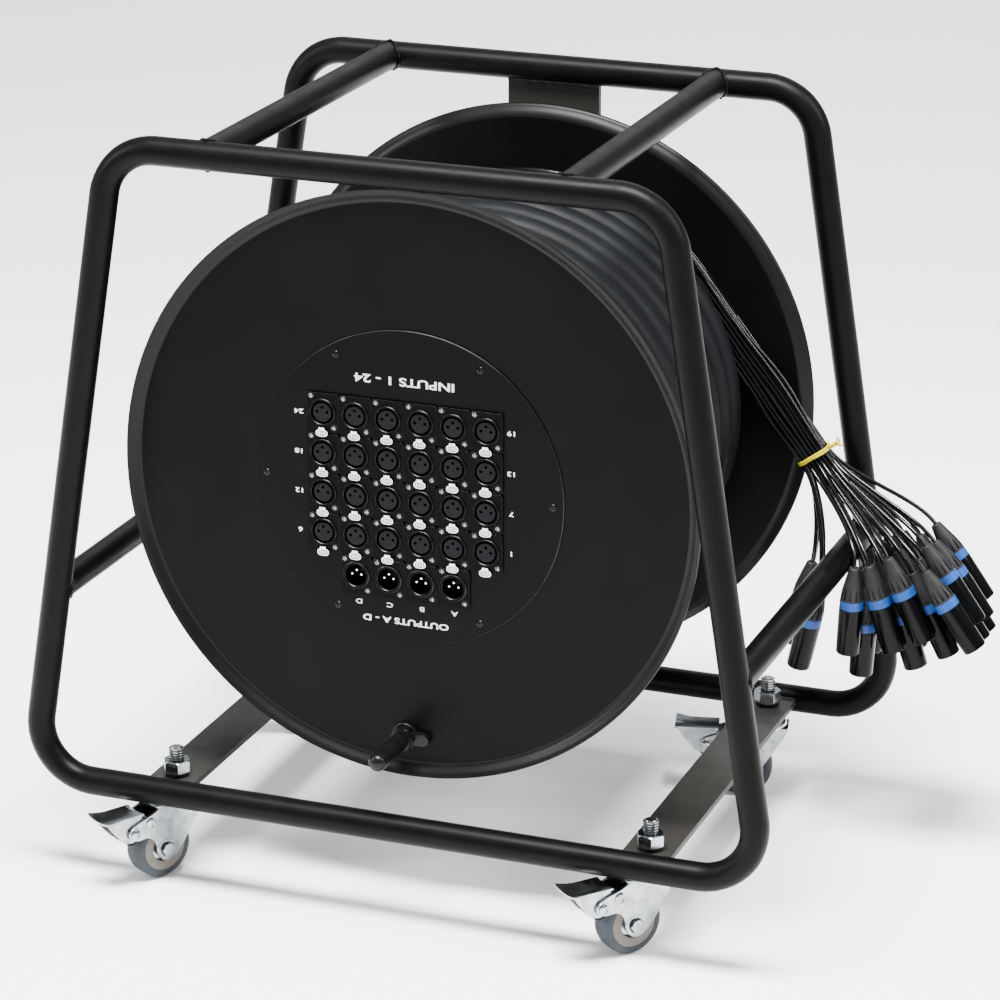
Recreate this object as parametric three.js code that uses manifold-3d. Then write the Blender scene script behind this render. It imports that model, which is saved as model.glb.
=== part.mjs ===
// Multicore cable drum on a wheeled tube stand.
// Millimetres, +X right, +Y to the rear, +Z up; the socket panel faces -Y.
// Everything is first laid out from the middle of the front hoop (y = 0) and the floor (z = 0),
// and the whole group is then moved so that the origin is the bottom centre of the stand's box.
import * as THREE from 'three';
import { mergeVertices } from 'three/addons/utils/BufferGeometryUtils.js';
import Module from 'manifold-3d';

const wasm = await Module();
wasm.setup();

// Clearances shared by all pieces
const gap = 0.3; // between two pieces that seat on or run in each other
const overrun = 6; // how far a cutting shape reaches past what it cuts
const weldIn = 1; // how far two shapes of one piece reach into each other

// Stand: two closed hoops, four cross tubes, two flat bars
const tubeRadius = 11;
const hoopTopWidth = 430.2;
const hoopBottomWidth = 594.6;
const hoopHeight = 510;
const hoopSpacing = 358.2;
const bendRadius = 42;
const tubeSides = 12;
const bendSteps = 3;
const topTubeHalfSpacing = 138;
const lowTubeRise = 156.6; // above the centre line of the hoop's bottom run
const barWidth = 38;
const barThickness = 5;
const barTopRise = 3; // bar's top above the centre line of the hoop's bottom run
const barLeftX = -188;
const barRightX = 201;
const supportWidth = 77;
const supportThickness = 6;
const supportX = 2.5;

// Casters, in a frame at the stem with z = 0 on the underside of the bar
const stemInset = 28; // from each hoop's plane to the stem
const wheelRadius = 25;
const wheelHalfWidth = 9.5;
const treadHalfWidth = 4;
const tyreThickness = 6.3;
const axleDrop = 48.4;
const trail = 19.5;
const studRadius = 5.9;
const studRise = 24; // above the bar
const nutHeight = 10;
const nutRadius = 10.6;
const washerHeight = 3;
const washerRadius = 9;
const raceHeight = 5.4;
const raceRadius = 15;
const kingpinRadius = 5;
const kingpinHeadRadius = 8;
const kingpinHeadHeight = 3;
const forkSheet = 2;
const forkHalfWidth = 12;
const forkRearReach = 18;
const forkTopReach = 28;
const forkBossRadius = 9;
const forkEarRadius = 6;
const wheelBoltRadius = 3;
const wheelBoltHeadRadius = 6.4;
const wheelBoltHeadHeight = 2.2;
const hubRecess = 2.5; // the wheel's face dishes in by this towards its hub
const pedalPivotX = 48.5;
const pedalPivotDrop = 28.4;
const pedalPinRadius = 2.6;
const pedalStartX = 40;
const pedalEndX = 74;
const pedalDrop = 15; // pedal's top below the bar
const pedalSheet = 1.6;
const brakeShoeRadius = 6.5;
const stopPinRadius = 3;
const stopPinX = 33.8;
const stopPinDrop = 22.7;
const rivetHeadRadius = 4;
const rivetHeadHeight = 1.2;
const casters = [
  { name: 'fl', barX: barLeftX, rear: false, pedalHeading: 60 },
  { name: 'fr', barX: barRightX, rear: false, pedalHeading: 51 },
  { name: 'rl', barX: barLeftX, rear: true, pedalHeading: 35 },
  { name: 'rr', barX: barRightX, rear: true, pedalHeading: 14 },
];

// Drum: two sheet flanges with a flared lip on a core tube
const drumAxisRise = 255.4; // above the centre line of the hoop's bottom run
const flangeRadius = 230.5;
const flangeSheet = 2.5;
const flangeFaceY = 48.5; // front face of the front flange
const drumInnerWidth = 279.4; // between the two flanges
const lipDepth = 5.6;
const lipWidth = 9;
const flangeSides = 32;
const coreWall = 3;
const coreClearance = 8.5; // round the corners of the sockets' rear bodies
const coreSeat = 5; // of the core's end on the front flange
const hubPlateThickness = 4;
const axleRadius = 12.5;
const axleHoleRadius = 30;
const bearingSides = 16;
const bearingWidth = 12;
const bearingThickness = 3.2;
const sleeveThickness = 6;
const sleeveLength = 122;
const axleNutRadius = 17;
const axleNutLength = 8;
const axleFlangeRadius = 36;
const axleFlangeThickness = 5.7;

// Cable: outer layer of the winding on a plain core of the layers below
const cableRadius = 12.3;
const windingDepth = 70; // from the core to the outside of the outer layer
const windingTurns = 10;
const stepsPerTurn = 20;
const cableSides = 6;
const cableEndAngle = 195; // degrees from +X, seen from the front, for both ends of the layer
const flangeClearance = 0.4;
const rampAngle = 38; // degrees of drum over which the cable climbs to the outer layer
const rampSteps = 4;
const rampWidth = 22;
const breakoutLength = 46;
const breakoutTipRadius = 6;
const breakoutSag = 10; // of its tip towards the core

// Socket panel: six columns by five rows on one pitch, the last row with four plugs
const panelRadius = 123.5;
const panelSheet = 1.2;
const panelSides = 32;
const socketPitchX = 26.2;
const socketPitchZ = 31.6;
const socketColumns = 6;
const socketRows = 4;
const plugColumns = 4;
const gridCentreX = -2.6;
const firstRowRise = 53.6; // above the drum's axis
const plateWidth = 26;
const plateHeight = 31;
const plateThickness = 1.8;
const plateStrip = 0.8; // thickness of the strip that a row's plates share
const socketSides = 8;
const shellRingRadius = 11;
const shellBoreRadius = 8.6;
const shellRingHeight = 1.4;
const insertRadius = 7.5;
const insertInset = 0.7;
const wellDepth = 14; // of a plug
const pinRadius = 1.2;
const pinCircle = 3.8;
const pinInset = 1; // from the ring's face to a pin's tip
const pushTab = { width: 10.2, height: 9.2, proud: 1.8, drop: 14.4 }; // reaches over the plate below
const barrelDepth = 20;
const barrelHeight = 19;
const barrelMargin = 5.6; // a row's rear body is narrower than the row by this at each end
const slotClearance = 0.5;

// Winding handle on the front flange
const handleX = -4;
const handleDrop = 199.8; // below the drum's axis
const handleReach = 62.2; // from the flange's face to the end of the grip
const handleWasher = { radius: 11, height: 2.5 };
const handleNut = { radius: 9.6, height: 7.2 };
const handleCollar = { radius: 8, height: 2 };
const handleBoltRadius = 3;
const handleBoltLength = 42;
const gripRadius = 7;
const gripBoreRadius = 3.5;
const handleLug = { length: 22, height: 11, thickness: 6 };

// Tails: each pair of the cable ends in its own connector
const strandRadius = 1.7;
const strandSides = 6;
const strandPitch = 3.5;
const grooveRows = 7;
const grooveColumns = 4;
const grooveWidth = 14;
const runEndAngle = 10; // degrees, where the last strand has left the groove
const tieCentre = [237, 320, 301];
const tieSpread = [0.82, 0, 0.57]; // the bundle's wide direction at the tie
const waist = { halfWidth: 16.2, halfDepth: 9.4, length: 5 };
const tieThickness = 3.2;
const tieWidth = 3.6;
const tieSteps = 6;
const approachLength = 12;
const connectorSides = 8;
const connectorTouch = 18.9; // between the axes of two connectors that lean on each other
const connectorLean = -0.14; // sideways drift of a pile, per millimetre of depth
const bootLength = 34; // with the coloured ring
const bootTipRadius = 4.2;
const shellRadius = 10.4; // to the corners
const connectorLength = 72;
// Where each pile of connectors hangs: the first boot, the way it points, and each member's place
// to the side and along the pile
const piles = [
  { boot: [250, 288, 203], point: [-4, 3, -72],
    members: [[0, 0], [-10, -12], [-1, 10], [-11, 4]] },
  { boot: [292, 248, 238], point: [-4, 3, -72],
    members: [[0, 0], [10, 24], [3, 14], [13, 18], [7, 12], [15, 10]] },
  { boot: [303, 248, 241], point: [22, 3, -68],
    members: [[0, 0], [10, 22], [3, 4], [12, 14], [4, 24], [11, 6]] },
  { boot: [318, 248, 249], point: [31, 3, -64],
    members: [[0, 0], [9, 22], [2, 6], [10, 22], [3, 2], [11, 14]] },
  { boot: [348, 248, 242], point: [41, 3, -58],
    members: [[0, 0], [7, -14], [-2, 4], [6, -6], [-3, 8], [6, -12]] },
];

// Places that follow from the sizes above
const barUnderside = axleDrop + wheelRadius;
const barTop = barUnderside + barThickness;
const hoopBottomZ = barTop - barTopRise;
const hoopTopZ = hoopBottomZ + hoopHeight;
const drumZ = hoopBottomZ + drumAxisRise;
const frontInnerY = flangeFaceY + flangeSheet;
const rearInnerY = frontInnerY + drumInnerWidth;
const panelFaceY = flangeFaceY - gap - panelSheet;
const plateBackY = panelFaceY - gap;
const plateFaceY = plateBackY - plateThickness;
const supportFrontY = hoopSpacing - supportThickness / 2;
const gridReachX = (socketColumns * socketPitchX) / 2 - barrelMargin + Math.abs(gridCentreX);
const gridReachZ = firstRowRise + barrelHeight / 2;
const coreRadius = Math.hypot(gridReachX, gridReachZ) + coreClearance + coreWall;
const flangeHoleRadius = coreRadius - coreSeat;
const windingRadius = coreRadius + windingDepth;
const sweepRadius = Math.hypot(windingRadius, 2 * cableRadius + gap); // of the cable's straight end
const layerRadius = windingRadius - cableRadius;
const underLayerRadius = layerRadius - cableRadius - gap;
const windingStartY = frontInnerY + flangeClearance + cableRadius;
const windingEndY = rearInnerY - flangeClearance - cableRadius;
const windingPitch = (windingEndY - windingStartY) / windingTurns;

const radians = THREE.MathUtils.degToRad;
const vector = (x, y, z) => new THREE.Vector3(x, y, z);

// Materials, one for each finish
const finishes = {
  black_powder: { color: 0x17181a, roughness: 0.42, metalness: 0.1 },
  black_sheet: { color: 0x141517, roughness: 0.38, metalness: 0.1 },
  zinc: { color: 0xb9bfc4, roughness: 0.32, metalness: 0.9 },
  dark_steel: { color: 0x3a3c3f, roughness: 0.4, metalness: 0.8 },
  tyre: { color: 0x5a646b, roughness: 0.7, metalness: 0 },
  wheel_core: { color: 0x968c80, roughness: 0.55, metalness: 0 },
  cable_jacket: { color: 0x2b2d30, roughness: 0.62, metalness: 0 },
  strand: { color: 0x18191b, roughness: 0.35, metalness: 0 },
  connector: { color: 0x101113, roughness: 0.25, metalness: 0.2 },
  tie: { color: 0xd8cf2c, roughness: 0.5, metalness: 0 },
  bronze: { color: 0x8a6a3c, roughness: 0.4, metalness: 0.8 },
};

function finish(name) {
  return new THREE.MeshStandardMaterial(finishes[name]);
}

// Position-only geometry with merged vertices and its faces pointing out
function clean(geometry) {
  const bare = geometry.clone();
  for (const name of Object.keys(bare.attributes)) {
    if (name !== 'position') bare.deleteAttribute(name);
  }
  const merged = mergeVertices(bare);
  const position = merged.attributes.position;
  const index = Array.from(merged.index.array);
  const faces = [];
  let volume = 0;
  const corner = [vector(0, 0, 0), vector(0, 0, 0), vector(0, 0, 0)];
  for (let i = 0; i < index.length; i += 3) {
    const [a, b, c] = index.slice(i, i + 3);
    if (a === b || b === c || c === a) continue;
    faces.push(a, b, c);
    [a, b, c].forEach((vertex, k) => corner[k].fromBufferAttribute(position, vertex));
    volume += corner[0].dot(corner[1].clone().cross(corner[2]));
  }
  if (volume < 0) faces.reverse();
  const result = new THREE.BufferGeometry();
  result.setAttribute('position', position);
  result.setIndex(faces);
  return result;
}

function toSolid(geometry) {
  const shape = clean(geometry);
  return new wasm.Manifold(new wasm.Mesh({
    numProp: 3,
    vertProperties: new Float32Array(shape.attributes.position.array),
    triVerts: new Uint32Array(shape.index.array),
  }));
}

function fromSolid(solid) {
  const mesh = solid.getMesh();
  const geometry = new THREE.BufferGeometry();
  geometry.setAttribute('position', new THREE.BufferAttribute(mesh.vertProperties, 3));
  geometry.setIndex(new THREE.BufferAttribute(mesh.triVerts, 1));
  return geometry;
}

function join(...geometries) {
  return fromSolid(geometries.map(toSolid).reduce((sum, next) => sum.add(next)));
}

function cut(geometry, ...tools) {
  return fromSolid(tools.map(toSolid).reduce((rest, tool) => rest.subtract(tool), toSolid(geometry)));
}

// Shapes
function box(x0, x1, y0, y1, z0, z1) {
  const geometry = new THREE.BoxGeometry(x1 - x0, y1 - y0, z1 - z0);
  return geometry.translate((x0 + x1) / 2, (y0 + y1) / 2, (z0 + z1) / 2);
}

function rodY(radius, y0, y1, sides = 16, x = 0, z = 0) {
  const geometry = new THREE.CylinderGeometry(radius, radius, y1 - y0, sides);
  return geometry.translate(x, (y0 + y1) / 2, z);
}

function rodZ(radius, z0, z1, sides = 16, x = 0, y = 0) {
  const geometry = new THREE.CylinderGeometry(radius, radius, z1 - z0, sides);
  return geometry.rotateX(Math.PI / 2).translate(x, y, (z0 + z1) / 2);
}

// Turned piece about the Y axis from a closed outline of [radius, y] points
function turnedY(outline, sides, flatDown = false) {
  const points = [...outline, outline[0]].map(([radius, y]) => new THREE.Vector2(radius, y));
  return new THREE.LatheGeometry(points, sides, flatDown ? Math.PI / sides : 0);
}

// Sheet with an outline in X and Z, between two values of Y
function sheetXZ(outline, y0, y1) {
  const shape = new THREE.Shape(outline.map(([x, z]) => new THREE.Vector2(x, z)));
  const geometry = new THREE.ExtrudeGeometry(shape, { depth: y1 - y0, bevelEnabled: false });
  return geometry.rotateX(Math.PI / 2).translate(0, y1, 0);
}

// Points of an arc in degrees, as [x, z]
function arc(x, z, radius, from, to, steps) {
  return Array.from({ length: steps + 1 }, (unused, i) => {
    const angle = radians(from + ((to - from) * i) / steps);
    return [x + radius * Math.cos(angle), z + radius * Math.sin(angle)];
  });
}

// One unbroken tube through rings of points, closed on itself or capped at both ends
function skin(rings, closed) {
  const sides = rings[0].length;
  const positions = rings.flat().flatMap((point) => point.toArray());
  const faces = [];
  const spans = closed ? rings.length : rings.length - 1;
  for (let i = 0; i < spans; i += 1) {
    const here = i * sides;
    const next = ((i + 1) % rings.length) * sides;
    for (let k = 0; k < sides; k += 1) {
      const m = (k + 1) % sides;
      faces.push(here + k, next + k, next + m, here + k, next + m, here + m);
    }
  }
  if (!closed) {
    const last = (rings.length - 1) * sides;
    for (let k = 1; k < sides - 1; k += 1) {
      faces.push(0, k, k + 1, last, last + k + 1, last + k);
    }
  }
  const geometry = new THREE.BufferGeometry();
  geometry.setAttribute('position', new THREE.Float32BufferAttribute(positions, 3));
  geometry.setIndex(faces);
  return geometry;
}

// Ring of points about a centre, spanned by two directions
function ringAt(centre, across, along, radius, sides, turn = 0) {
  return Array.from({ length: sides }, (unused, k) => {
    const angle = turn + (2 * Math.PI * k) / sides;
    return centre.clone().addScaledVector(across, radius * Math.cos(angle))
      .addScaledVector(along, radius * Math.sin(angle));
  });
}

// Stand
function hoop(y) {
  const corners = [
    [hoopTopWidth / 2, hoopTopZ], [hoopBottomWidth / 2, hoopBottomZ],
    [-hoopBottomWidth / 2, hoopBottomZ], [-hoopTopWidth / 2, hoopTopZ],
  ].map(([x, z]) => new THREE.Vector2(x, z));
  const rings = [];
  corners.forEach((corner, i) => {
    const back = corners[(i + 3) % 4].clone().sub(corner).normalize();
    const ahead = corners[(i + 1) % 4].clone().sub(corner).normalize();
    const half = Math.acos(back.dot(ahead)) / 2;
    const centre = back.clone().add(ahead).normalize()
      .multiplyScalar(bendRadius / Math.sin(half)).add(corner);
    const start = back.clone().multiplyScalar(bendRadius / Math.tan(half)).add(corner).sub(centre);
    const sweep = -(Math.PI - 2 * half);
    for (let k = 0; k <= bendSteps; k += 1) {
      const out = start.clone().rotateAround(new THREE.Vector2(), (sweep * k) / bendSteps);
      const middle = vector(centre.x + out.x, y, centre.y + out.y);
      const outward = vector(out.x, 0, out.y).normalize();
      rings.push(ringAt(middle, outward, vector(0, 1, 0), tubeRadius, tubeSides));
    }
  });
  return skin(rings, true);
}

// Half width of the hoop's centre line at a height
function hoopHalfWidth(z) {
  const share = (z - hoopBottomZ) / hoopHeight;
  return (hoopBottomWidth + (hoopTopWidth - hoopBottomWidth) * share) / 2;
}

// Cross tube, with its ends coped to the runs of the two hoops
function crossTube(x, z, hoopRun) {
  const tube = rodY(tubeRadius, 0, hoopSpacing, tubeSides, x, z);
  const tools = [0, hoopSpacing].map((y) => {
    const tool = new THREE.CylinderGeometry(
      tubeRadius + gap, tubeRadius + gap, 4 * (tubeRadius + overrun), tubeSides);
    return tool.applyMatrix4(hoopRun).translate(x, y, z);
  });
  return cut(tube, ...tools);
}

function levelRun() {
  return new THREE.Matrix4().makeRotationZ(Math.PI / 2);
}

function leaningRun(side) {
  const lean = Math.atan2((hoopBottomWidth - hoopTopWidth) / 2, hoopHeight);
  return new THREE.Matrix4().makeRotationY(-side * lean)
    .multiply(new THREE.Matrix4().makeRotationX(Math.PI / 2));
}

function flatBar(x) {
  const reach = tubeRadius + gap;
  const bar = box(x - barWidth / 2, x + barWidth / 2, reach, hoopSpacing - reach,
    barUnderside, barTop);
  const holes = [stemInset, hoopSpacing - stemInset].map((y) => rodZ(
    studRadius + gap, barUnderside - overrun, barTop + overrun, 16, x, y));
  return cut(bar, ...holes);
}

function supportPlate() {
  return box(supportX - supportWidth / 2, supportX + supportWidth / 2,
    supportFrontY, supportFrontY + supportThickness,
    hoopBottomZ + tubeRadius + gap, hoopTopZ - tubeRadius - gap);
}

const sleeveEndY = rearInnerY - gap;
const sleeveStartY = sleeveEndY - sleeveLength;

function axle() {
  const flangeBack = supportFrontY - gap;
  const flangeFront = flangeBack - axleFlangeThickness;
  const nutFront = sleeveStartY - gap - axleNutLength;
  return join(
    rodY(axleRadius, nutFront - weldIn, flangeFront + weldIn, bearingSides),
    rodY(axleNutRadius, nutFront, sleeveStartY - gap, 6),
    rodY(axleFlangeRadius, flangeFront, flangeBack, bearingSides));
}

// Drum
function flange(faceY, outward) {
  const y = (depth) => faceY + outward * depth;
  const lip = flangeRadius - lipWidth;
  return turnedY([
    [outward < 0 ? flangeHoleRadius : axleHoleRadius, y(0)],
    [lip, y(0)],
    [flangeRadius - flangeSheet / 2, y(lipDepth)],
    [flangeRadius, y(lipDepth - flangeSheet / 3)],
    [lip + lipWidth * 0.25, y(-flangeSheet)],
    [outward < 0 ? flangeHoleRadius : axleHoleRadius, y(-flangeSheet)],
  ], flangeSides);
}

function coreTube() {
  return turnedY([
    [coreRadius - coreWall, frontInnerY + gap], [coreRadius, frontInnerY + gap],
    [coreRadius, rearInnerY - gap], [coreRadius - coreWall, rearInnerY - gap],
  ], stepsPerTurn);
}

function hub() {
  const bore = axleRadius + gap + bearingThickness + gap;
  const rim = (coreRadius - coreWall) * Math.cos(Math.PI / stepsPerTurn) - gap;
  return turnedY([
    [bore, sleeveStartY], [bore + sleeveThickness, sleeveStartY],
    [bore + sleeveThickness, sleeveEndY - hubPlateThickness],
    [rim, sleeveEndY - hubPlateThickness], [rim, sleeveEndY], [bore, sleeveEndY],
  ], bearingSides);
}

function bearing(y) {
  const inner = axleRadius + gap;
  return turnedY([
    [inner, y], [inner + bearingThickness, y],
    [inner + bearingThickness, y + bearingWidth], [inner, y + bearingWidth],
  ], bearingSides);
}

function rowRise(row) {
  return firstRowRise - socketPitchZ * row;
}

function rowHalfWidth(columns) {
  return (columns * socketPitchX) / 2;
}

function panel() {
  const shape = new THREE.Shape(
    arc(0, 0, panelRadius, 0, 360, panelSides).slice(0, -1).map(([x, z]) => new THREE.Vector2(x, z)));
  for (let row = 0; row <= socketRows; row += 1) {
    const columns = row < socketRows ? socketColumns : plugColumns;
    const half = rowHalfWidth(columns) - barrelMargin + slotClearance;
    const reach = barrelHeight / 2 + slotClearance;
    const rise = rowRise(row);
    shape.holes.push(new THREE.Path([
      [gridCentreX - half, rise - reach], [gridCentreX + half, rise - reach],
      [gridCentreX + half, rise + reach], [gridCentreX - half, rise + reach],
    ].map(([x, z]) => new THREE.Vector2(x, z))));
  }
  const geometry = new THREE.ExtrudeGeometry(shape, { depth: panelSheet, bevelEnabled: false });
  return geometry.rotateX(Math.PI / 2).translate(0, panelFaceY + panelSheet, 0);
}

const ringFaceY = plateFaceY - shellRingHeight;
const wellFloorY = ringFaceY + wellDepth;

// One connector's front: its plate and raised ring, with a socket's insert and push tab
function connectorFront(x, z, isPlug) {
  const floorY = ringFaceY + insertInset;
  const recess = isPlug ? [] : [[shellBoreRadius, ringFaceY], [insertRadius, floorY]];
  const pieces = [
    box(x - plateWidth / 2, x + plateWidth / 2, plateFaceY, plateBackY - plateStrip / 2,
      z - plateHeight / 2, z + plateHeight / 2),
    turnedY([
      [0, plateFaceY + weldIn / 2], [shellRingRadius, plateFaceY + weldIn / 2],
      [shellRingRadius, ringFaceY], ...recess, [0, isPlug ? ringFaceY : floorY],
    ], socketSides).translate(x, 0, z),
  ];
  if (!isPlug) {
    const tabZ = z - pushTab.drop;
    pieces.push(box(x - pushTab.width / 2, x + pushTab.width / 2,
      plateFaceY - pushTab.proud, plateFaceY - gap,
      tabZ - pushTab.height / 2, tabZ + pushTab.height / 2));
  }
  return pieces;
}

// The well of one plug and the pins that stand in it
function plugWell(x, z) {
  return rodY(shellBoreRadius, ringFaceY - overrun, wellFloorY, socketSides, x, z);
}

function plugPins(x, z) {
  return [0, 90, 180].map((angle) => rodY(pinRadius, ringFaceY + pinInset, wellFloorY + weldIn, 4,
    x + pinCircle * Math.cos(radians(angle)), z + pinCircle * Math.sin(radians(angle))));
}

// One row of panel connectors, seated on the panel and reaching through its slot
function connectorRow(row, columns, isPlug) {
  const z = rowRise(row);
  const half = rowHalfWidth(columns);
  const stripHalf = half - (socketPitchX - plateWidth) / 2;
  const centres = Array.from({ length: columns }, (unused, column) => (
    gridCentreX - half + socketPitchX * (column + 0.5)));
  const body = join(
    box(gridCentreX - stripHalf, gridCentreX + stripHalf, plateBackY - plateStrip, plateBackY,
      z - plateHeight / 2, z + plateHeight / 2),
    box(gridCentreX - half + barrelMargin, gridCentreX + half - barrelMargin,
      plateBackY - plateStrip / 2, plateBackY + barrelDepth,
      z - barrelHeight / 2, z + barrelHeight / 2),
    ...centres.flatMap((x) => connectorFront(x, z, isPlug)));
  if (!isPlug) return body;
  return join(
    cut(body, ...centres.map((x) => plugWell(x, z))),
    ...centres.flatMap((x) => plugPins(x, z)));
}

const handleBaseY = flangeFaceY - gap;
const handleWasherY = handleBaseY - handleWasher.height;
const handleNutY = handleWasherY - handleNut.height;
const handleCollarY = handleNutY - handleCollar.height;
const gripEndY = flangeFaceY - handleReach;

function handleBase() {
  const boltEnd = handleCollarY - handleBoltLength;
  return join(
    rodY(handleWasher.radius, handleWasherY, handleBaseY, 12),
    rodY(handleNut.radius, handleNutY, handleWasherY + weldIn, 6),
    rodY(handleCollar.radius, handleCollarY, handleNutY + weldIn, 12),
    rodY(handleBoltRadius, boltEnd, handleCollarY + weldIn, 8),
    box(0, handleLug.length, handleBaseY - handleLug.thickness, handleBaseY,
      -handleLug.height / 2, handleLug.height / 2));
}

function handleGrip() {
  const start = handleCollarY - gap;
  const boreEnd = handleCollarY - handleBoltLength - gap * 2;
  const domeStart = gripEndY + gripRadius;
  const dome = arc(0, domeStart, gripRadius, 0, -90, 3);
  return turnedY([
    [0, boreEnd], [gripBoreRadius, boreEnd], [gripBoreRadius, start],
    [gripRadius, start], ...dome,
  ], 12);
}

// Winding
function around(angle) {
  const a = radians(angle);
  return { out: vector(Math.cos(a), 0, Math.sin(a)), ahead: vector(Math.sin(a), 0, -Math.cos(a)) };
}

function windingCentre(angle, y) {
  return around(angle).out.multiplyScalar(layerRadius).add(vector(0, y, 0));
}

function cableWinding() {
  const rings = [];
  const steps = windingTurns * stepsPerTurn;
  for (let i = 0; i <= steps; i += 1) {
    const angle = cableEndAngle - (360 / stepsPerTurn) * i;
    const { out, ahead } = around(angle);
    const centre = windingCentre(angle, windingStartY + (windingPitch * i) / stepsPerTurn);
    const ring = (middle) => ringAt(middle, out, vector(0, 1, 0), cableRadius, cableSides, Math.PI / 6);
    if (i === 0) rings.push(ring(centre.clone().addScaledVector(ahead, -2 * cableRadius)));
    rings.push(ring(centre));
    if (i === steps) rings.push(ring(centre.clone().addScaledVector(ahead, 2 * cableRadius)));
  }
  let least = Infinity;
  for (let i = 0; i < rings.length; i += 1) {
    for (let j = i + stepsPerTurn - 2; j < Math.min(rings.length, i + stepsPerTurn + 3); j += 1) {
      for (const a of rings[i]) for (const b of rings[j]) least = Math.min(least, a.distanceTo(b));
    }
  }
  console.log(`cable winding: least gap between turns ${least.toFixed(2)} mm`);
  return skin(rings, false);
}

// Plain core of the lower layers, with the ramp where the cable climbs to the outer one
function windingCore() {
  const plain = turnedY([
    [coreRadius + gap, frontInnerY + flangeClearance], [underLayerRadius, frontInnerY + flangeClearance],
    [underLayerRadius, rearInnerY - flangeClearance], [coreRadius + gap, rearInnerY - flangeClearance],
  ], stepsPerTurn);
  const face = 2 * cableRadius + gap;
  const first = Math.atan2(face, windingRadius);
  const outline = [[underLayerRadius - cableRadius, face], [windingRadius - gap, face]];
  for (let k = 1; k <= rampSteps; k += 1) {
    const angle = first + ((radians(rampAngle) - first) * k) / rampSteps;
    const radius = windingRadius - ((windingRadius - underLayerRadius + overrun) * k) / rampSteps;
    outline.push([radius * Math.cos(angle), radius * Math.sin(angle)]);
  }
  const { out, ahead } = around(cableEndAngle);
  const turnedOutline = outline.map(([radial, back]) => [
    out.x * radial - ahead.x * back, out.z * radial - ahead.z * back]);
  const rampStart = frontInnerY + flangeClearance;
  return join(plain, sheetXZ(turnedOutline, rampStart, rampStart + rampWidth));
}

// Sleeve in which the cable splits into its strands
function cableBreakout() {
  const { out, ahead } = around(cableEndAngle);
  const start = windingCentre(cableEndAngle, windingEndY)
    .addScaledVector(ahead, 2 * cableRadius + gap);
  const shape = [[0, cableRadius], [0.45, cableRadius], [1, breakoutTipRadius]];
  return skin(shape.map(([share, radius]) => ringAt(
    start.clone().addScaledVector(ahead, share * breakoutLength).addScaledVector(out, -share * breakoutSag),
    out, vector(0, 1, 0), radius, cableSides + 2, Math.PI / 8)), false);
}

// Rear side of the last turn at an angle, where the groove for the strands begins
function grooveWallY(angle) {
  return windingEndY - (windingPitch * (360 - (cableEndAngle - angle))) / 360 + cableRadius;
}

function tailRun() {
  const rearY = rearInnerY - flangeClearance;
  const reach = 2 * cableRadius + breakoutLength + 2 * gap;
  const tipRadius = layerRadius - breakoutSag - breakoutTipRadius;
  const from = cableEndAngle - Math.ceil(THREE.MathUtils.radToDeg(Math.atan2(reach, tipRadius)));
  const step = 360 / stepsPerTurn;
  const angles = [from];
  for (let angle = Math.ceil(from / step - 1) * step; angle > runEndAngle; angle -= step) {
    angles.push(angle);
  }
  angles.push(runEndAngle);
  return skin(angles.map((angle) => {
    const { out } = around(angle);
    const frontY = Math.max(grooveWallY(angle) + 2 * gap, rearY - grooveWidth);
    return [
      [underLayerRadius + gap, frontY], [underLayerRadius + gap, rearY],
      [sweepRadius, rearY], [sweepRadius, frontY],
    ].map(([radius, y]) => out.clone().multiplyScalar(radius).add(vector(0, y, 0)));
  }), false);
}

// Tails
function pileAxes(pile) {
  const point = vector(...pile.point).normalize();
  const side = vector(-point.z, 0, point.x).normalize();
  const depth = side.clone().cross(point).normalize();
  if (depth.y < 0) depth.negate();
  return { point, side, depth };
}

// Boot ends of one pile's connectors, each leaning on the one before
function pileBoots(pile) {
  const { point, side, depth } = pileAxes(pile);
  let back = 0;
  let previous = pile.members[0][0];
  return pile.members.map(([sideways, slide], k) => {
    if (k > 0) {
      const shift = sideways - previous;
      const square = 1 + connectorLean ** 2;
      const linear = shift * connectorLean;
      back += (-linear + Math.sqrt(linear ** 2 - square * (shift ** 2 - connectorTouch ** 2))) / square;
    }
    previous = sideways;
    return vector(...pile.boot).addScaledVector(side, sideways + connectorLean * back)
      .addScaledVector(depth, back).addScaledVector(point, slide);
  });
}

function connectorPile(pile) {
  const { point } = pileAxes(pile);
  const turn = new THREE.Quaternion().setFromUnitVectors(vector(0, 1, 0), point);
  const outline = [
    [0, 0], [bootTipRadius, 0], [shellRadius, bootLength], [shellRadius, connectorLength],
    [0, connectorLength],
  ];
  return join(...pileBoots(pile).map((boot) => {
    const body = turnedY(outline, connectorSides);
    return body.applyQuaternion(turn).translate(...boot.toArray());
  }));
}

const spread = vector(...tieSpread).normalize();

function tieSlot(row, column) {
  return vector(...tieCentre)
    .addScaledVector(spread, (row - (grooveRows - 1) / 2) * strandPitch)
    .add(vector(0, (column - (grooveColumns - 1) / 2) * strandPitch, 0));
}

// Where a strand leaves the drum: on its tangent from the groove, just outside the cable's turning end
function strandExit(row, column, slot) {
  const axis = vector(0, 0, drumZ);
  const place = slot.clone().sub(axis);
  const radius = underLayerRadius + gap + strandPitch * (row + 0.5);
  const distance = Math.hypot(place.x, place.z);
  const angle = Math.atan2(place.z, place.x) + Math.acos(radius / distance);
  const y = rearInnerY - flangeClearance - strandPitch * (grooveColumns - column - 0.5);
  const tangent = vector(radius * Math.cos(angle), y, radius * Math.sin(angle)).add(axis);
  const outside = sweepRadius + strandRadius + gap;
  const share = Math.sqrt((outside ** 2 - radius ** 2) / (distance ** 2 - radius ** 2));
  return tangent.lerp(slot, share);
}

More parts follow.
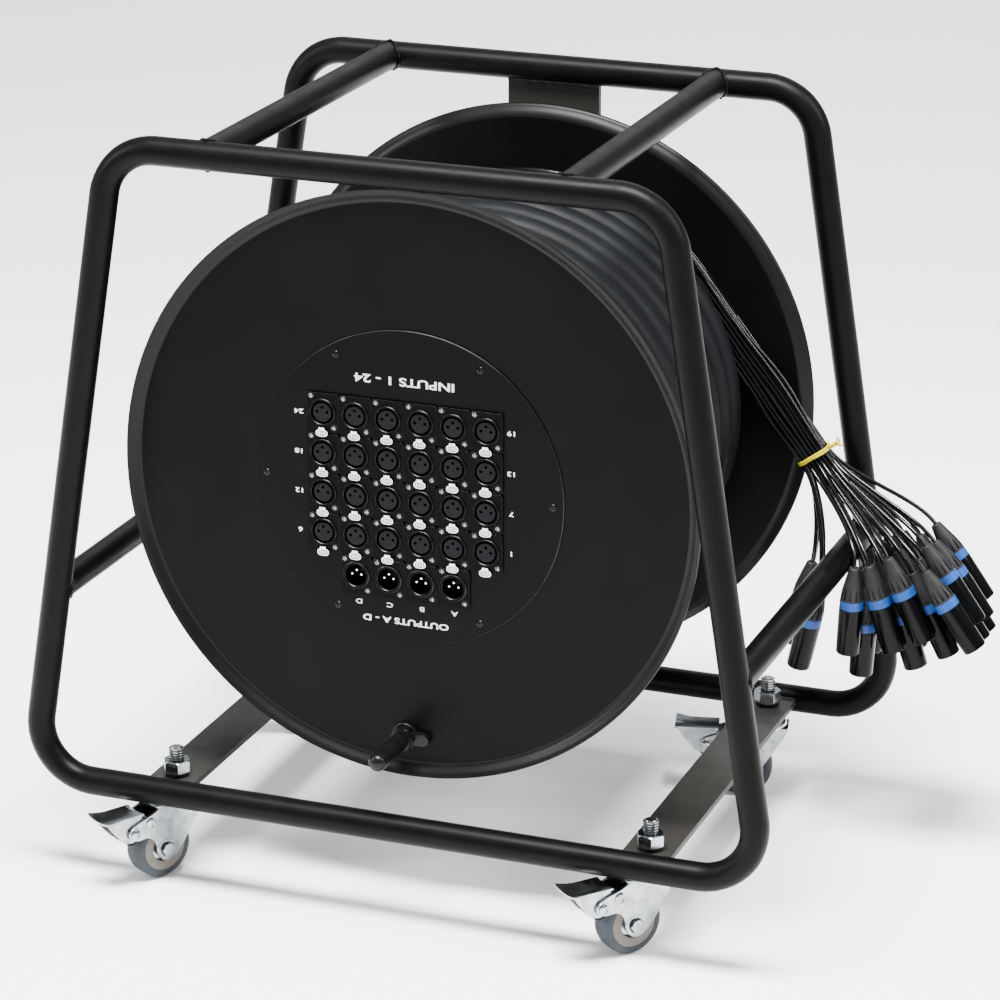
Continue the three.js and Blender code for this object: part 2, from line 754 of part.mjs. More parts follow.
// Routes of all strands: each pile takes the next places at the tie, front ones for front boots
function strandRoutes() {
  const routes = [];
  for (const pile of piles) {
    const { point } = pileAxes(pile);
    const places = pile.members.map((unused, k) => [
      Math.floor((routes.length + k) / grooveColumns), (routes.length + k) % grooveColumns]);
    places.sort((a, b) => a[1] - b[1] || a[0] - b[0]);
    pileBoots(pile).forEach((boot, k) => {
      const [row, column] = places[k];
      const slot = tieSlot(row, column);
      const end = boot.clone().addScaledVector(point, -gap);
      const approach = boot.clone().addScaledVector(point, -approachLength);
      routes.push([strandExit(row, column, slot), slot, approach, end]);
    });
  }
  return routes;
}

// Tube along a route, square to its first and last stretch
function strand(route) {
  let across = vector(0, 1, 0);
  return skin(route.map((centre, i) => {
    const ahead = route[Math.min(i + 1, route.length - 1)].clone()
      .sub(route[i < route.length - 1 ? i : i - 1]).normalize();
    const behind = i > 0 ? centre.clone().sub(route[i - 1]).normalize() : ahead;
    const way = ahead.clone().add(behind).normalize();
    across = across.clone().addScaledVector(way, -across.dot(way)).normalize();
    return ringAt(centre, across, way.clone().cross(across), strandRadius, strandSides);
  }), false);
}

// Outline with round ends across the bundle at the tie
function bundleOutline(margin) {
  const radius = waist.halfDepth + margin;
  const straight = waist.halfWidth - waist.halfDepth;
  return [...arc(straight, 0, radius, -90, 90, tieSteps), ...arc(-straight, 0, radius, 90, 270, tieSteps)]
    .map(([x, y]) => new THREE.Vector2(x, y));
}

// Outline extruded along the bundle, centred on the tie
function alongBundle(outline, hole, length) {
  const shape = new THREE.Shape(outline);
  if (hole) shape.holes.push(new THREE.Path(hole));
  const geometry = new THREE.ExtrudeGeometry(shape, { depth: length, bevelEnabled: false });
  const across = vector(0, 1, 0);
  const basis = new THREE.Matrix4().makeBasis(spread, across, spread.clone().cross(across));
  return geometry.translate(0, 0, -length / 2).applyMatrix4(basis).translate(...tieCentre);
}

function tailStrands() {
  return join(alongBundle(bundleOutline(0), null, waist.length), ...strandRoutes().map(strand));
}

function tailTie() {
  return alongBundle(bundleOutline(2 * gap + tieThickness), bundleOutline(2 * gap), tieWidth);
}

// Casters, all in the frame of the stem: X along the trail, Y to the side, Z up
const raceTop = -gap;
const raceBottom = raceTop - raceHeight;
const lowerRaceTop = raceBottom - gap;
const forkTop = lowerRaceTop - raceHeight;
const kingpinHeadTop = forkTop - forkSheet - gap;

function casterStem() {
  const aboveBar = barThickness + gap;
  return join(
    rodZ(studRadius, raceBottom, barThickness + studRise, 8),
    rodZ(raceRadius, raceBottom, raceTop, 12),
    rodZ(washerRadius, aboveBar, aboveBar + washerHeight, 10),
    rodZ(nutRadius, aboveBar + washerHeight, aboveBar + washerHeight + nutHeight, 6),
    rodZ(kingpinRadius, kingpinHeadTop - weldIn, raceBottom + weldIn, 8),
    rodZ(kingpinHeadRadius, kingpinHeadTop - kingpinHeadHeight, kingpinHeadTop, 8));
}

function forkSide() {
  const waistPoint = (share) => [
    trail + (pedalPivotX - trail) * share, -axleDrop + (axleDrop - pedalPivotDrop) * share];
  return [
    [-forkRearReach, forkTop],
    [-forkRearReach, forkTop - forkSheet],
    [-forkRearReach / 2, (forkTop - axleDrop) / 2 + forkSheet * 3],
    ...arc(trail, -axleDrop, forkBossRadius, 205, 325, 3),
    waistPoint(0.45),
    ...arc(pedalPivotX, -pedalPivotDrop, forkEarRadius, -95, 75, 3),
    [stopPinX, forkTop - forkSheet * 2.4],
    [forkTopReach, forkTop],
  ];
}

function fork() {
  const inner = forkHalfWidth - forkSheet;
  const sides = [[-forkHalfWidth, -inner], [inner, forkHalfWidth]]
    .map(([y0, y1]) => sheetXZ(forkSide(), y0, y1));
  const whole = join(
    ...sides,
    box(-forkRearReach, forkTopReach, -forkHalfWidth, forkHalfWidth, forkTop - forkSheet, forkTop),
    rodZ(raceRadius + 2 * gap, forkTop - forkSheet / 2, lowerRaceTop, 12),
    rodY(stopPinRadius, -inner - weldIn, inner + weldIn, 8, stopPinX, -stopPinDrop));
  return cut(whole,
    rodZ(kingpinRadius + 2 * gap, kingpinHeadTop - overrun, lowerRaceTop + overrun, 8),
    rodY(wheelBoltRadius + 3 * gap, -forkHalfWidth - overrun, forkHalfWidth + overrun, 6,
      trail, -axleDrop),
    rodY(pedalPinRadius + 3 * gap, -forkHalfWidth - overrun, forkHalfWidth + overrun, 6,
      pedalPivotX, -pedalPivotDrop));
}

function wheelBolt() {
  const head = forkHalfWidth + gap;
  return join(
    rodY(wheelBoltRadius, -head - weldIn, head + weldIn, 6),
    rodY(wheelBoltHeadRadius, -head - wheelBoltHeadHeight, -head, 6),
    rodY(wheelBoltHeadRadius, head, head + wheelBoltHeadHeight, 6));
}

// Outer radius that gives a turned piece with flats its full size across the flats
function acrossFlats(radius, sides) {
  return radius / Math.cos(Math.PI / sides);
}

const wheelSides = 16;

function tyre() {
  const tread = acrossFlats(wheelRadius, wheelSides);
  const bore = wheelRadius - tyreThickness;
  const shoulder = tread - tyreThickness / 4;
  return turnedY([
    [bore, -wheelHalfWidth], [shoulder, -wheelHalfWidth], [tread, -treadHalfWidth],
    [tread, treadHalfWidth], [shoulder, wheelHalfWidth], [bore, wheelHalfWidth],
  ], wheelSides, true);
}

function wheelCore() {
  const rim = wheelRadius - tyreThickness - gap;
  const bore = wheelBoltRadius + gap;
  const hubFace = forkHalfWidth - forkSheet - gap;
  const web = wheelHalfWidth - hubRecess;
  const hubEnd = bore + wheelBoltRadius;
  return turnedY([
    [bore, -hubFace], [hubEnd, -hubFace], [hubEnd, -web], [rim, -wheelHalfWidth],
    [rim, wheelHalfWidth], [hubEnd, web], [hubEnd, hubFace], [bore, hubFace],
  ], wheelSides, true);
}

function pedal() {
  const plateBottom = -pedalDrop - pedalSheet;
  const flangeOuter = forkHalfWidth - forkSheet - gap;
  const side = [
    [pedalStartX, plateBottom + weldIn],
    [pedalPivotX - brakeShoeRadius, -pedalPivotDrop],
    ...arc(pedalPivotX, -pedalPivotDrop - brakeShoeRadius / 2, brakeShoeRadius, 190, 300, 2),
    [pedalEndX - pedalSheet * 3, plateBottom - pedalSheet * 3],
    [pedalEndX, plateBottom + weldIn],
  ];
  const flanges = [[-flangeOuter, -flangeOuter + forkSheet], [flangeOuter - forkSheet, flangeOuter]]
    .map(([y0, y1]) => sheetXZ(side, y0, y1));
  const pinReach = forkHalfWidth + gap;
  return join(
    box(pedalStartX, pedalEndX, -forkHalfWidth, forkHalfWidth, plateBottom, -pedalDrop),
    ...flanges,
    rodY(pedalPinRadius, -pinReach - weldIn, pinReach + weldIn, 6, pedalPivotX, -pedalPivotDrop),
    rodY(rivetHeadRadius, -pinReach - rivetHeadHeight, -pinReach, 8, pedalPivotX, -pedalPivotDrop),
    rodY(rivetHeadRadius, pinReach, pinReach + rivetHeadHeight, 8, pedalPivotX, -pedalPivotDrop));
}

// Assembly
const stand = new THREE.Group();

function add(parent, name, geometry, material, x = 0, y = 0, z = 0) {
  const mesh = new THREE.Mesh(clean(geometry), finish(material));
  mesh.name = name;
  mesh.position.set(x, y, z);
  parent.add(mesh);
  return mesh;
}

function addFrame() {
  add(stand, 'hoop_front', hoop(0), 'black_powder');
  add(stand, 'hoop_rear', hoop(hoopSpacing), 'black_powder');
  const lowZ = hoopBottomZ + lowTubeRise;
  const lowX = hoopHalfWidth(lowZ);
  for (const [name, side] of [['left', -1], ['right', 1]]) {
    add(stand, `tube_top_${name}`, crossTube(side * topTubeHalfSpacing, hoopTopZ, levelRun()),
      'black_powder');
    add(stand, `tube_low_${name}`, crossTube(side * lowX, lowZ, leaningRun(side)), 'black_powder');
  }
  add(stand, 'bar_left', flatBar(barLeftX), 'black_powder');
  add(stand, 'bar_right', flatBar(barRightX), 'black_powder');
  add(stand, 'support_plate', supportPlate(), 'black_powder');
  add(stand, 'axle', axle(), 'dark_steel', 0, 0, drumZ);
}

function addCasters() {
  for (const { name, barX, rear, pedalHeading } of casters) {
    const group = new THREE.Group();
    group.position.set(barX, rear ? hoopSpacing - stemInset : stemInset, barUnderside);
    group.rotation.z = Math.PI + radians(pedalHeading);
    stand.add(group);
    add(group, `caster_${name}_stem`, casterStem(), 'zinc');
    add(group, `caster_${name}_fork`, fork(), 'zinc');
    add(group, `caster_${name}_wheel_bolt`, wheelBolt(), 'zinc', trail, 0, -axleDrop);
    add(group, `caster_${name}_tyre`, tyre(), 'tyre', trail, 0, -axleDrop);
    add(group, `caster_${name}_wheel_core`, wheelCore(), 'wheel_core', trail, 0, -axleDrop);
    add(group, `caster_${name}_pedal`, pedal(), 'zinc');
  }
}

function addDrum() {
  const drum = new THREE.Group();
  drum.position.set(0, 0, drumZ);
  stand.add(drum);
  add(drum, 'flange_front', flange(flangeFaceY, -1), 'black_sheet');
  add(drum, 'flange_rear', flange(rearInnerY + flangeSheet, 1), 'black_sheet');
  add(drum, 'core_tube', coreTube(), 'black_sheet');
  add(drum, 'hub', hub(), 'dark_steel');
  add(drum, 'bearing_front', bearing(sleeveStartY + gap), 'bronze');
  add(drum, 'bearing_rear', bearing(sleeveEndY - gap - bearingWidth), 'bronze');
  add(drum, 'panel', panel(), 'black_sheet');
  for (let row = 0; row < socketRows; row += 1) {
    add(drum, `socket_row_${row + 1}`, connectorRow(row, socketColumns, false), 'connector');
  }
  add(drum, 'plug_row', connectorRow(socketRows, plugColumns, true), 'connector');
  add(drum, 'handle_base', handleBase(), 'dark_steel', handleX, 0, -handleDrop);
  add(drum, 'handle_grip', handleGrip(), 'connector', handleX, 0, -handleDrop);
  add(drum, 'winding_core', windingCore(), 'cable_jacket');
  add(drum, 'cable_winding', cableWinding(), 'cable_jacket');
  add(drum, 'cable_breakout', cableBreakout(), 'cable_jacket');
  add(drum, 'tail_run', tailRun(), 'strand');
}

const tailNames = ['tail_strands', 'tail_tie'];

function addTails() {
  add(stand, 'tail_strands', tailStrands(), 'strand');
  add(stand, 'tail_tie', tailTie(), 'tie');
  piles.forEach((pile, i) => {
    const name = `tail_connectors_${i + 1}`;
    tailNames.push(name);
    add(stand, name, connectorPile(pile), 'connector');
  });
}

addFrame();
addCasters();
addDrum();
addTails();

// The origin is the bottom centre of the box round everything but the tails
stand.updateMatrixWorld(true);
const bounds = new THREE.Box3();
stand.traverse((piece) => {
  if (piece.isMesh && !tailNames.includes(piece.name)) bounds.expandByObject(piece, true);
});
const middle = bounds.getCenter(vector(0, 0, 0));
stand.position.set(-middle.x, -middle.y, -bounds.min.z);
stand.updateMatrixWorld(true);

export default stand;
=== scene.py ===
from math import (
    acos, atan, atan2, copysign, cos, degrees, hypot, pi, radians, sin, sqrt, tan)

import bpy
from mathutils import Matrix, Vector


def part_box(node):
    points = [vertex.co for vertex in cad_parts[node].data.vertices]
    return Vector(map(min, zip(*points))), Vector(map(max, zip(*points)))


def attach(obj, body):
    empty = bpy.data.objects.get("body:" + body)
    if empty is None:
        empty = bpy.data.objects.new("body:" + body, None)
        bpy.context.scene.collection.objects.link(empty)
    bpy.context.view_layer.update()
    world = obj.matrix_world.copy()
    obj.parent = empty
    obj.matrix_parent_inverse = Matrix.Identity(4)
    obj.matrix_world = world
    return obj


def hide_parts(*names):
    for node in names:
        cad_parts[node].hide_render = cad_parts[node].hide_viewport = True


bl_info = {
    "name": "Multicore Cable Drum",
    "version": (1, 0, 0),
    "blender": (4, 5, 0),
    "location": "3D View > Sidebar > Cable Drum",
    "description": "Builds a cable drum with a socket panel on a wheeled tube stand",
    "category": "Object",
}

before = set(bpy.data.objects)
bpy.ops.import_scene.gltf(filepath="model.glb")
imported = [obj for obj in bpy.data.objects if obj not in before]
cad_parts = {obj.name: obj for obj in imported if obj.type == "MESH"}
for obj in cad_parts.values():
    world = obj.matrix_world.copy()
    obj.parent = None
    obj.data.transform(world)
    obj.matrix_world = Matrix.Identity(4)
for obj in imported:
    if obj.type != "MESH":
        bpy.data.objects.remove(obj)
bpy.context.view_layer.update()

MM = 0.001
HOOP_PLANE = sum(corner.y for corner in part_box("hoop_front")) / 2  # y of the front hoop's middle
DRUM_HEIGHT = sum(corner.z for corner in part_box("flange_front")) / 2
LAYOUT = Matrix.Translation((0, HOOP_PLANE, 0))
DRUM = Matrix.Translation((0, HOOP_PLANE, DRUM_HEIGHT))

# Places that the solids fix, in millimetres from the front hoop's plane and the floor
HOOP_SPACING = 358.2
HOOP_BOTTOM = 75.4
HOOP_TOP = 585.4
TUBE = 11  # radius
TOP_TUBE_X = 138
LOW_TUBE_X = 272.06
LOW_TUBE_Z = 232
FLANGE_FACE = 48.5
FLANGE_SHEET = 2.5
LIP = 10.5  # width of a flange's flared lip
FRONT_INNER = 51
REAR_INNER = 330.4
SIDE_ROOM = 0.4  # between the winding and a flange
PANEL_FACE = 47
PANEL_RADIUS = 123.5
PANEL_SCREWS = 115  # radius of the circle that they stand on
PLATE_FACE = 44.9
GRID = (-2.6, 53.6)  # middle of the panel's rows, and height of the first one
PITCH = (26.2, 31.6)  # from one panel connector to the next, across and down
HANDLE = (-4, 0, -199.8)  # from the drum's middle
CABLE = 12.3  # radius that the turns are laid by
WINDING = 180
LAYERS = (122.6, 145.1, WINDING - CABLE)  # radius of the cable's middle in each layer
END_ANGLE = 195
DRUM_Z = DRUM_HEIGHT / MM
STRAND = 1.7
STRAND_PITCH = 3.5
ROWS = 7
COLUMNS = 4
BAR_BOTTOM = 73.4
BAR_TOP = 78.4
BARS = (("left", -188), ("right", 201))
SUPPORT_Y = (355.2, 361.2)  # faces of the plate that carries the axle
CASTER_Y = (28, 330.2)
CASTERS = (
    ("fl", -188, 28, 60), ("fr", 201, 28, 51), ("rl", -188, 330.2, 35), ("rr", 201, 330.2, 14))
# Piles of connectors on the tails: first boot, direction, each one's place to the side and along
PILES = (
    ((252, 288, 203), (-15, 3, -70), ((0, 0), (-10, -12), (-1, 10), (-11, 4))),
    ((292, 248, 238), (-4, 3, -72), ((0, 0), (10, 24), (3, 14), (13, 18), (7, 12), (15, 10))),
    ((303, 248, 241), (22, 3, -68), ((0, 0), (10, 22), (3, 4), (12, 14), (4, 24), (11, 6))),
    ((318, 248, 249), (31, 3, -64), ((0, 0), (9, 22), (2, 6), (10, 22), (3, 2), (11, 14))),
    ((348, 248, 242), (41, 3, -58), ((0, 0), (7, -14), (-2, 4), (6, -6), (-3, 8), (6, -12))),
)
SOCKETS = ((0, 1), (1, 3), (2, 4), (3, 5))  # pile and member of the tails that end in a socket
TIE = Vector((237, 320, 301))
TIE_SPREAD = Vector((0.82, 0, 0.57)).normalized()
BOWS = ((0.22, 0.2), (0.38, 0.5), (0, -1.2), (0.15, -0.3))  # spread and shift of each column
BOOT_REACH = 9  # how far a tail goes into its connector's boot
# Radius that the cable's straight end sweeps as the drum turns; the tails begin just outside it
SWEEP = hypot(WINDING, 2 * CABLE)


# Modelling helpers: lengths in millimetres, angles in degrees

def deselect():
    bpy.ops.object.select_all(action="DESELECT")


def pick(*objects):
    deselect()
    for obj in objects:
        obj.select_set(True)
    bpy.context.view_layer.objects.active = objects[0]


def edit(obj):
    pick(obj)
    bpy.ops.object.mode_set(mode="EDIT")
    bpy.ops.mesh.select_all(action="SELECT")


def closed(obj):
    """Turns the faces of the piece in edit mode outwards and leaves edit mode."""
    bpy.ops.mesh.select_all(action="SELECT")
    bpy.ops.mesh.normals_make_consistent(inside=False)
    bpy.ops.object.mode_set(mode="OBJECT")
    return obj


def polar(radius, angle):
    """The point (x, z) at an angle from +X towards +Z."""
    return radius * cos(radians(angle)), radius * sin(radians(angle))


def centred(index, count):
    return index - (count - 1) / 2


def rectangle(x0, x1, z0, z1):
    return [(x0, z0), (x1, z0), (x1, z1), (x0, z1)]


def mirrored(half, *middle):
    """An outline from its half at one side of y = 0 and its points on y = 0."""
    return [*half, *middle, *[(x, -y) for x, y in reversed(half)]]


def rounded(outline, radius, steps=4):
    """The outline with each corner replaced by a short curve."""
    result = []
    for i, corner in enumerate(outline):
        here = Vector(corner)
        before = Vector(outline[i - 1]) - here
        after = Vector(outline[(i + 1) % len(outline)]) - here
        start = here + before.normalized() * min(radius, before.length / 2.2)
        end = here + after.normalized() * min(radius, after.length / 2.2)
        for k in range(steps + 1):
            t = k / steps
            result.append(tuple(start * (1 - t) ** 2 + here * 2 * t * (1 - t) + end * t**2))
    return result


def loop_of(points, fill="NOTHING"):
    """A closed loop of edges through the points, or a face."""
    deselect()
    bpy.ops.mesh.primitive_circle_add(vertices=len(points), fill_type=fill)
    obj = bpy.context.object
    for vertex, point in zip(obj.data.vertices, points):
        vertex.co = Vector(point) * MM
    return obj


def turned(outline, steps=96):
    """A piece turned about the Y axis from a closed outline of (radius, y)."""
    obj = loop_of([(radius, y, 0) for radius, y in outline])
    edit(obj)
    bpy.ops.mesh.spin(steps=steps, angle=2 * pi, center=(0, 0, 0), axis=(0, 1, 0))
    bpy.ops.mesh.select_all(action="SELECT")
    bpy.ops.mesh.remove_doubles(threshold=1e-6)
    bpy.ops.mesh.dissolve_degenerate(threshold=1e-6)
    bpy.ops.mesh.delete_loose()
    return closed(obj)


def sheet(outline, y0, y1):
    """A flat piece with an outline in X and Z, between two values of Y."""
    obj = loop_of([(x, y0, z) for x, z in outline], "NGON")
    edit(obj)
    bpy.ops.mesh.extrude_region_move(TRANSFORM_OT_translate={"value": (0, (y1 - y0) * MM, 0)})
    return closed(obj)


def flat(outline, z0, z1):
    """A flat piece with an outline in X and Y, between two values of Z."""
    obj = sheet(outline, z0, z1)
    obj.data.transform(Matrix(((1, 0, 0, 0), (0, 0, 1, 0), (0, 1, 0, 0), (0, 0, 0, 1))))
    edit(obj)
    return closed(obj)


def block(x0, x1, y0, y1, z0, z1):
    return sheet(rectangle(x0, x1, z0, z1), y0, y1)


def rod(radius, y0, y1, x=0, z=0, steps=32):
    around = [polar(radius, 360 * k / steps) for k in range(steps)]
    return sheet([(x + dx, z + dz) for dx, dz in around], y0, y1)


def linked(name, data):
    obj = bpy.data.objects.new(name, data)
    bpy.context.scene.collection.objects.link(obj)
    return obj


def pipe(points, radius, closed_loop=False, resolution=5, swell=None, convert=True):
    """A round tube along points, as a mesh or as the curve itself."""
    deselect()
    curve = bpy.data.curves.new("pipe", "CURVE")
    curve.dimensions = "3D"
    curve.bevel_depth = radius * MM
    curve.bevel_resolution = resolution
    curve.use_fill_caps = not closed_loop
    line = curve.splines.new("POLY")
    line.points.add(len(points) - 1)
    line.use_cyclic_u = closed_loop
    line.use_smooth = True
    for i, (place, point) in enumerate(zip(line.points, points)):
        place.co = (*(Vector(point) * MM), 1)
        place.radius = swell[i] if swell else 1
    obj = linked("pipe", curve)
    if convert:
        pick(obj)
        bpy.ops.object.convert(target="MESH")
        obj = bpy.context.object
        edit(obj)
        bpy.ops.mesh.remove_doubles(threshold=1e-7)
        closed(obj)
    return obj


def discard(*objects):
    for obj in objects:
        bpy.data.objects.remove(obj)


def apply(obj, kind, **settings):
    """Adds one modifier and applies it."""
    pick(obj)
    modifier = obj.modifiers.new(kind, kind)
    for key, value in settings.items():
        setattr(modifier, key, value)
    bpy.ops.object.modifier_apply(modifier=modifier.name)
    return obj


def soften(obj, width, segments=2, angle=32):
    return apply(
        obj, "BEVEL", width=width * MM, segments=segments, limit_method="ANGLE",
        angle_limit=radians(angle), harden_normals=False)


def slab(outline, corner, y0, y1, edge, segments=2):
    """A flat piece with rounded corners and softened edges."""
    return soften(sheet(rounded(outline, corner), y0, y1), edge, segments)


def carve(obj, *tools):
    for tool in tools:
        apply(obj, "BOOLEAN", operation="DIFFERENCE", object=tool, solver="EXACT")
    discard(*tools)
    return obj


def smooth(obj, angle=38):
    pick(obj)
    bpy.ops.object.shade_smooth_by_angle(angle=radians(angle))
    return apply(obj, "WEIGHTED_NORMAL", keep_sharp=True)


def moved(obj, matrix):
    obj.data.transform(matrix)
    return obj


def at(x, y, z):
    return Matrix.Translation(Vector((x, y, z)) * MM)


def about(axis, angle):
    return Matrix.Rotation(radians(angle), 4, axis)


def facing(direction):
    """The turn that takes +Y to a direction."""
    return Vector((0, 1, 0)).rotation_difference(direction).to_matrix().to_4x4()


def upright(obj):
    """Turns +Y of a piece to +Z."""
    return moved(obj, about("X", 90))


def both_sides(outline, place, steps=40):
    """Two pieces turned about a place (x, z), one at each side of y = 0."""
    return [
        moved(turned([(radius, sign * y) for radius, y in outline], steps),
              at(place[0], 0, place[1]))
        for sign in (-1, 1)]


def copied(obj):
    return linked(obj.name, obj.data.copy())


def joined(objects):
    pick(*objects)
    if len(objects) > 1:
        bpy.ops.object.join()
    return bpy.context.object


def painted(obj, *finishes):
    obj.data.materials.clear()
    for name in finishes:
        obj.data.materials.append(finish_named(name))
    return obj


def finished(obj, *finishes, angle=38):
    return painted(smooth(obj, angle), *finishes)


def second_finish(obj, test):
    """Gives the faces that pass a test the second finish of their piece."""
    for polygon in obj.data.polygons:
        polygon.material_index = int(test(polygon.center / MM, polygon.normal))
    return obj


def keep(obj, name, body, slot, *replaces, place=None):
    """Puts a finished piece in its place, names it and hands it to its body."""
    if place is None:
        place = DRUM if body == "drum" else LAYOUT
    obj.data.transform(place)
    obj.name = name
    obj.data.name = name
    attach(obj, body)
    if replaces:
        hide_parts(*replaces)
    return obj


# Finishes

# colour, roughness, metallic, specular level, mottling (share, scale), grain (height in mm, scale)
FINISHES = {
    "powder_coat": ((0.0013, 0.0013, 0.0012), 0.4, 0, 0.062, (0.25, 30), (0.035, 900)),
    "bar_coat": ((0.015, 0.014, 0.0124), 0.46, 0, 0.16, (0.14, 45), (0.07, 700)),
    "flange_paint": ((0.0019, 0.0021, 0.0016), 0.33, 0, 0.042, (0.2, 14), (0.02, 1100)),
    # painted highlight: the flanges' lips, lighter and glossier than the flat faces so that they
    # shine
    "lip_paint": ((0.0026, 0.0028, 0.0025), 0.36, 0, 0.11, (0.2, 14), (0.02, 1100)),
    "panel_paint": ((0.0016, 0.0018, 0.0015), 0.38, 0, 0.04, (0.15, 25), (0.02, 1500)),
    "connector_black": ((0.001, 0.001, 0.0011), 0.24, 0, 0.03, (0.2, 200), (0.006, 1200)),
    # painted highlight: lighter, glossier paint on the rounded edges of the panel connectors
    "edge_sheen": ((0.003, 0.003, 0.0031), 0.34, 0, 0.22, (0.2, 200), (0.006, 1200)),
    "insert_grey": ((0.0046, 0.0052, 0.006), 0.5, 0, 0.06, (0.15, 300), (0.01, 1500)),
    "bright_zinc": ((0.31, 0.335, 0.35), 0.21, 1, 0.5, (0.32, 110), (0.035, 150)),
    # painted shade in the grooves of the stud's thread (the rings under the wheel bolt's heads use
    # it too)
    "thread_shadow": ((0.06, 0.065, 0.07), 0.35, 1, 0.5, (0.2, 200), (0.01, 900)),
    "tab_nickel": ((0.62, 0.62, 0.59), 0.2, 1, 0.5, (0.12, 200), (0.006, 900)),
    # painted shade: darker metal on the floor of the push tabs' recesses
    "tab_recess": ((0.22, 0.22, 0.2), 0.35, 1, 0.5, (0.1, 200), (0.006, 900)),
    "screw_zinc": ((0.28, 0.27, 0.24), 0.24, 1, 0.5, (0.35, 300), (0.01, 900)),
    # bare metal of the panel's cut rim, kept lighter than the paint as a painted highlight along
    # the rim
    "cut_edge": ((0.03, 0.03, 0.029), 0.38, 1, 0.5, (0.2, 100), (0.01, 900)),
    "pin_silver": ((0.9, 0.9, 0.88), 0.18, 1, 0.5, (0.03, 400), (0.002, 1500)),
    "blackened_steel": ((0.01, 0.01, 0.011), 0.28, 0.8, 0.4, (0.3, 80), (0.02, 600)),
    "grip_black": ((0.0028, 0.0028, 0.0028), 0.28, 0, 0.14, (0.2, 120), (0.01, 900)),
    "tyre_grey": ((0.022, 0.029, 0.035), 0.62, 0, 0.25, (0.18, 90), (0.03, 700)),
    "core_beige": ((0.105, 0.088, 0.076), 0.5, 0, 0.3, (0.1, 90), (0.015, 700)),
    "hub_black": ((0.004, 0.004, 0.004), 0.55, 0, 0.12, (0.2, 90), (0.02, 500)),
    "jacket_grey": ((0.003, 0.0034, 0.004), 0.5, 0, 0.065, (0.25, 22), (0.03, 420)),
    "strand_black": ((0.0018, 0.0018, 0.0021), 0.17, 0, 0.34, (0.2, 120), (0.008, 600)),
    "boot_rubber": ((0.0095, 0.0095, 0.01), 0.5, 0, 0.18, (0.2, 160), (0.02, 1200)),
    "shell_gloss": ((0.001, 0.001, 0.0012), 0.12, 0, 0.08, (0.1, 200), (0.003, 900)),
    "ring_blue": ((0.002, 0.04, 0.19), 0.42, 0, 0.25, (0.1, 200), (0.006, 1200)),
    "ring_red": ((0.1, 0.0015, 0.006), 0.42, 0, 0.25, (0.1, 200), (0.006, 1200)),
    "tie_yellow": ((0.44, 0.345, 0.0008), 0.55, 0, 0.1, (0.12, 200), (0.02, 900)),
    "legend_white": ((0.62, 0.66, 0.7), 0.5, 0, 0.3, (0.06, 400), (0.004, 1500)),
    "plain_bronze": ((0.42, 0.26, 0.11), 0.4, 1, 0.5, (0.2, 80), (0.01, 400)),
}
NOISE_LOW = 0.3  # the part of a noise's values that is used
NOISE_HIGH = 0.7


def finish_named(name, colour=None):
    """The material of a finish, made when it is first asked for."""
    found = bpy.data.materials.get(name)
    if found:
        return found
    own_colour, roughness, metallic, specular, (share, scale), (height, fineness) = FINISHES[name]
    colour = colour or own_colour
    material = bpy.data.materials.new(name)
    material.use_nodes = True
    nodes = material.node_tree.nodes
    links = material.node_tree.links
    shader = nodes["Principled BSDF"]
    shader.inputs["Metallic"].default_value = metallic
    shader.inputs["Specular IOR Level"].default_value = specular
    place = nodes.new("ShaderNodeTexCoord")

    def added(kind, **settings):
        node = nodes.new(kind)
        for key, value in settings.items():
            node.inputs[key.replace("_", " ")].default_value = value
        return node

    def noise(scale, detail):
        texture = added("ShaderNodeTexNoise", Scale=scale, Detail=detail, Roughness=0.55)
        links.new(place.outputs["Object"], texture.inputs["Vector"])
        return texture.outputs["Fac"]

    ramp = nodes.new("ShaderNodeValToRGB")
    for element, position, sign in zip(
            ramp.color_ramp.elements, (NOISE_LOW, NOISE_HIGH), (-1, 1)):
        element.position = position
        element.color = (*[min(1, c * (1 + sign * share)) for c in colour], 1)
    links.new(noise(scale, 3), ramp.inputs["Fac"])
    links.new(ramp.outputs["Color"], shader.inputs["Base Color"])
    sheen = added(
        "ShaderNodeMapRange", From_Min=NOISE_LOW, From_Max=NOISE_HIGH,
        To_Min=roughness * 0.9, To_Max=roughness * 1.12)
    links.new(noise(scale * 1.7, 4), sheen.inputs["Value"])
    links.new(sheen.outputs["Result"], shader.inputs["Roughness"])
    bump = added("ShaderNodeBump", Strength=0.6, Distance=height * MM)
    links.new(noise(fineness, 2), bump.inputs["Height"])
    links.new(bump.outputs["Normal"], shader.inputs["Normal"])
    material.diffuse_color = (*colour, 1)
    return material


# Sizes that a user would change

def length_of(name, description, default):
    return bpy.props.FloatProperty(
        name=name, description=description, default=default, unit="LENGTH", subtype="DISTANCE")


def colour_of(name, description, default):
    return bpy.props.FloatVectorProperty(
        name=name, description=description, default=default, size=3, subtype="COLOR")


class StandSizes(bpy.types.PropertyGroup):
    top_width: length_of("Top width", "Width of a hoop's top run between centre lines", 0.4302)
    bottom_width: length_of(
        "Bottom width", "Width of a hoop's bottom run between centre lines", 0.5946)
    bend_radius: length_of("Bend radius", "Radius of a hoop's bends on the centre line", 0.0425)
    weld_bead: length_of("Weld bead", "Radius of a weld bead", 0.0013)


class DrumSizes(bpy.types.PropertyGroup):
    flange_radius: length_of("Flange radius", "Outer radius of the two flanges", 0.2305)
    cable_radius: length_of("Cable radius", "Radius of the multicore cable", 0.0125)
    turns: bpy.props.IntProperty(
        name="Turns", description="Turns of cable in each layer", default=10, min=2)
    legend_height: length_of("Legend height", "Height of the panel's numbers", 0.0037)


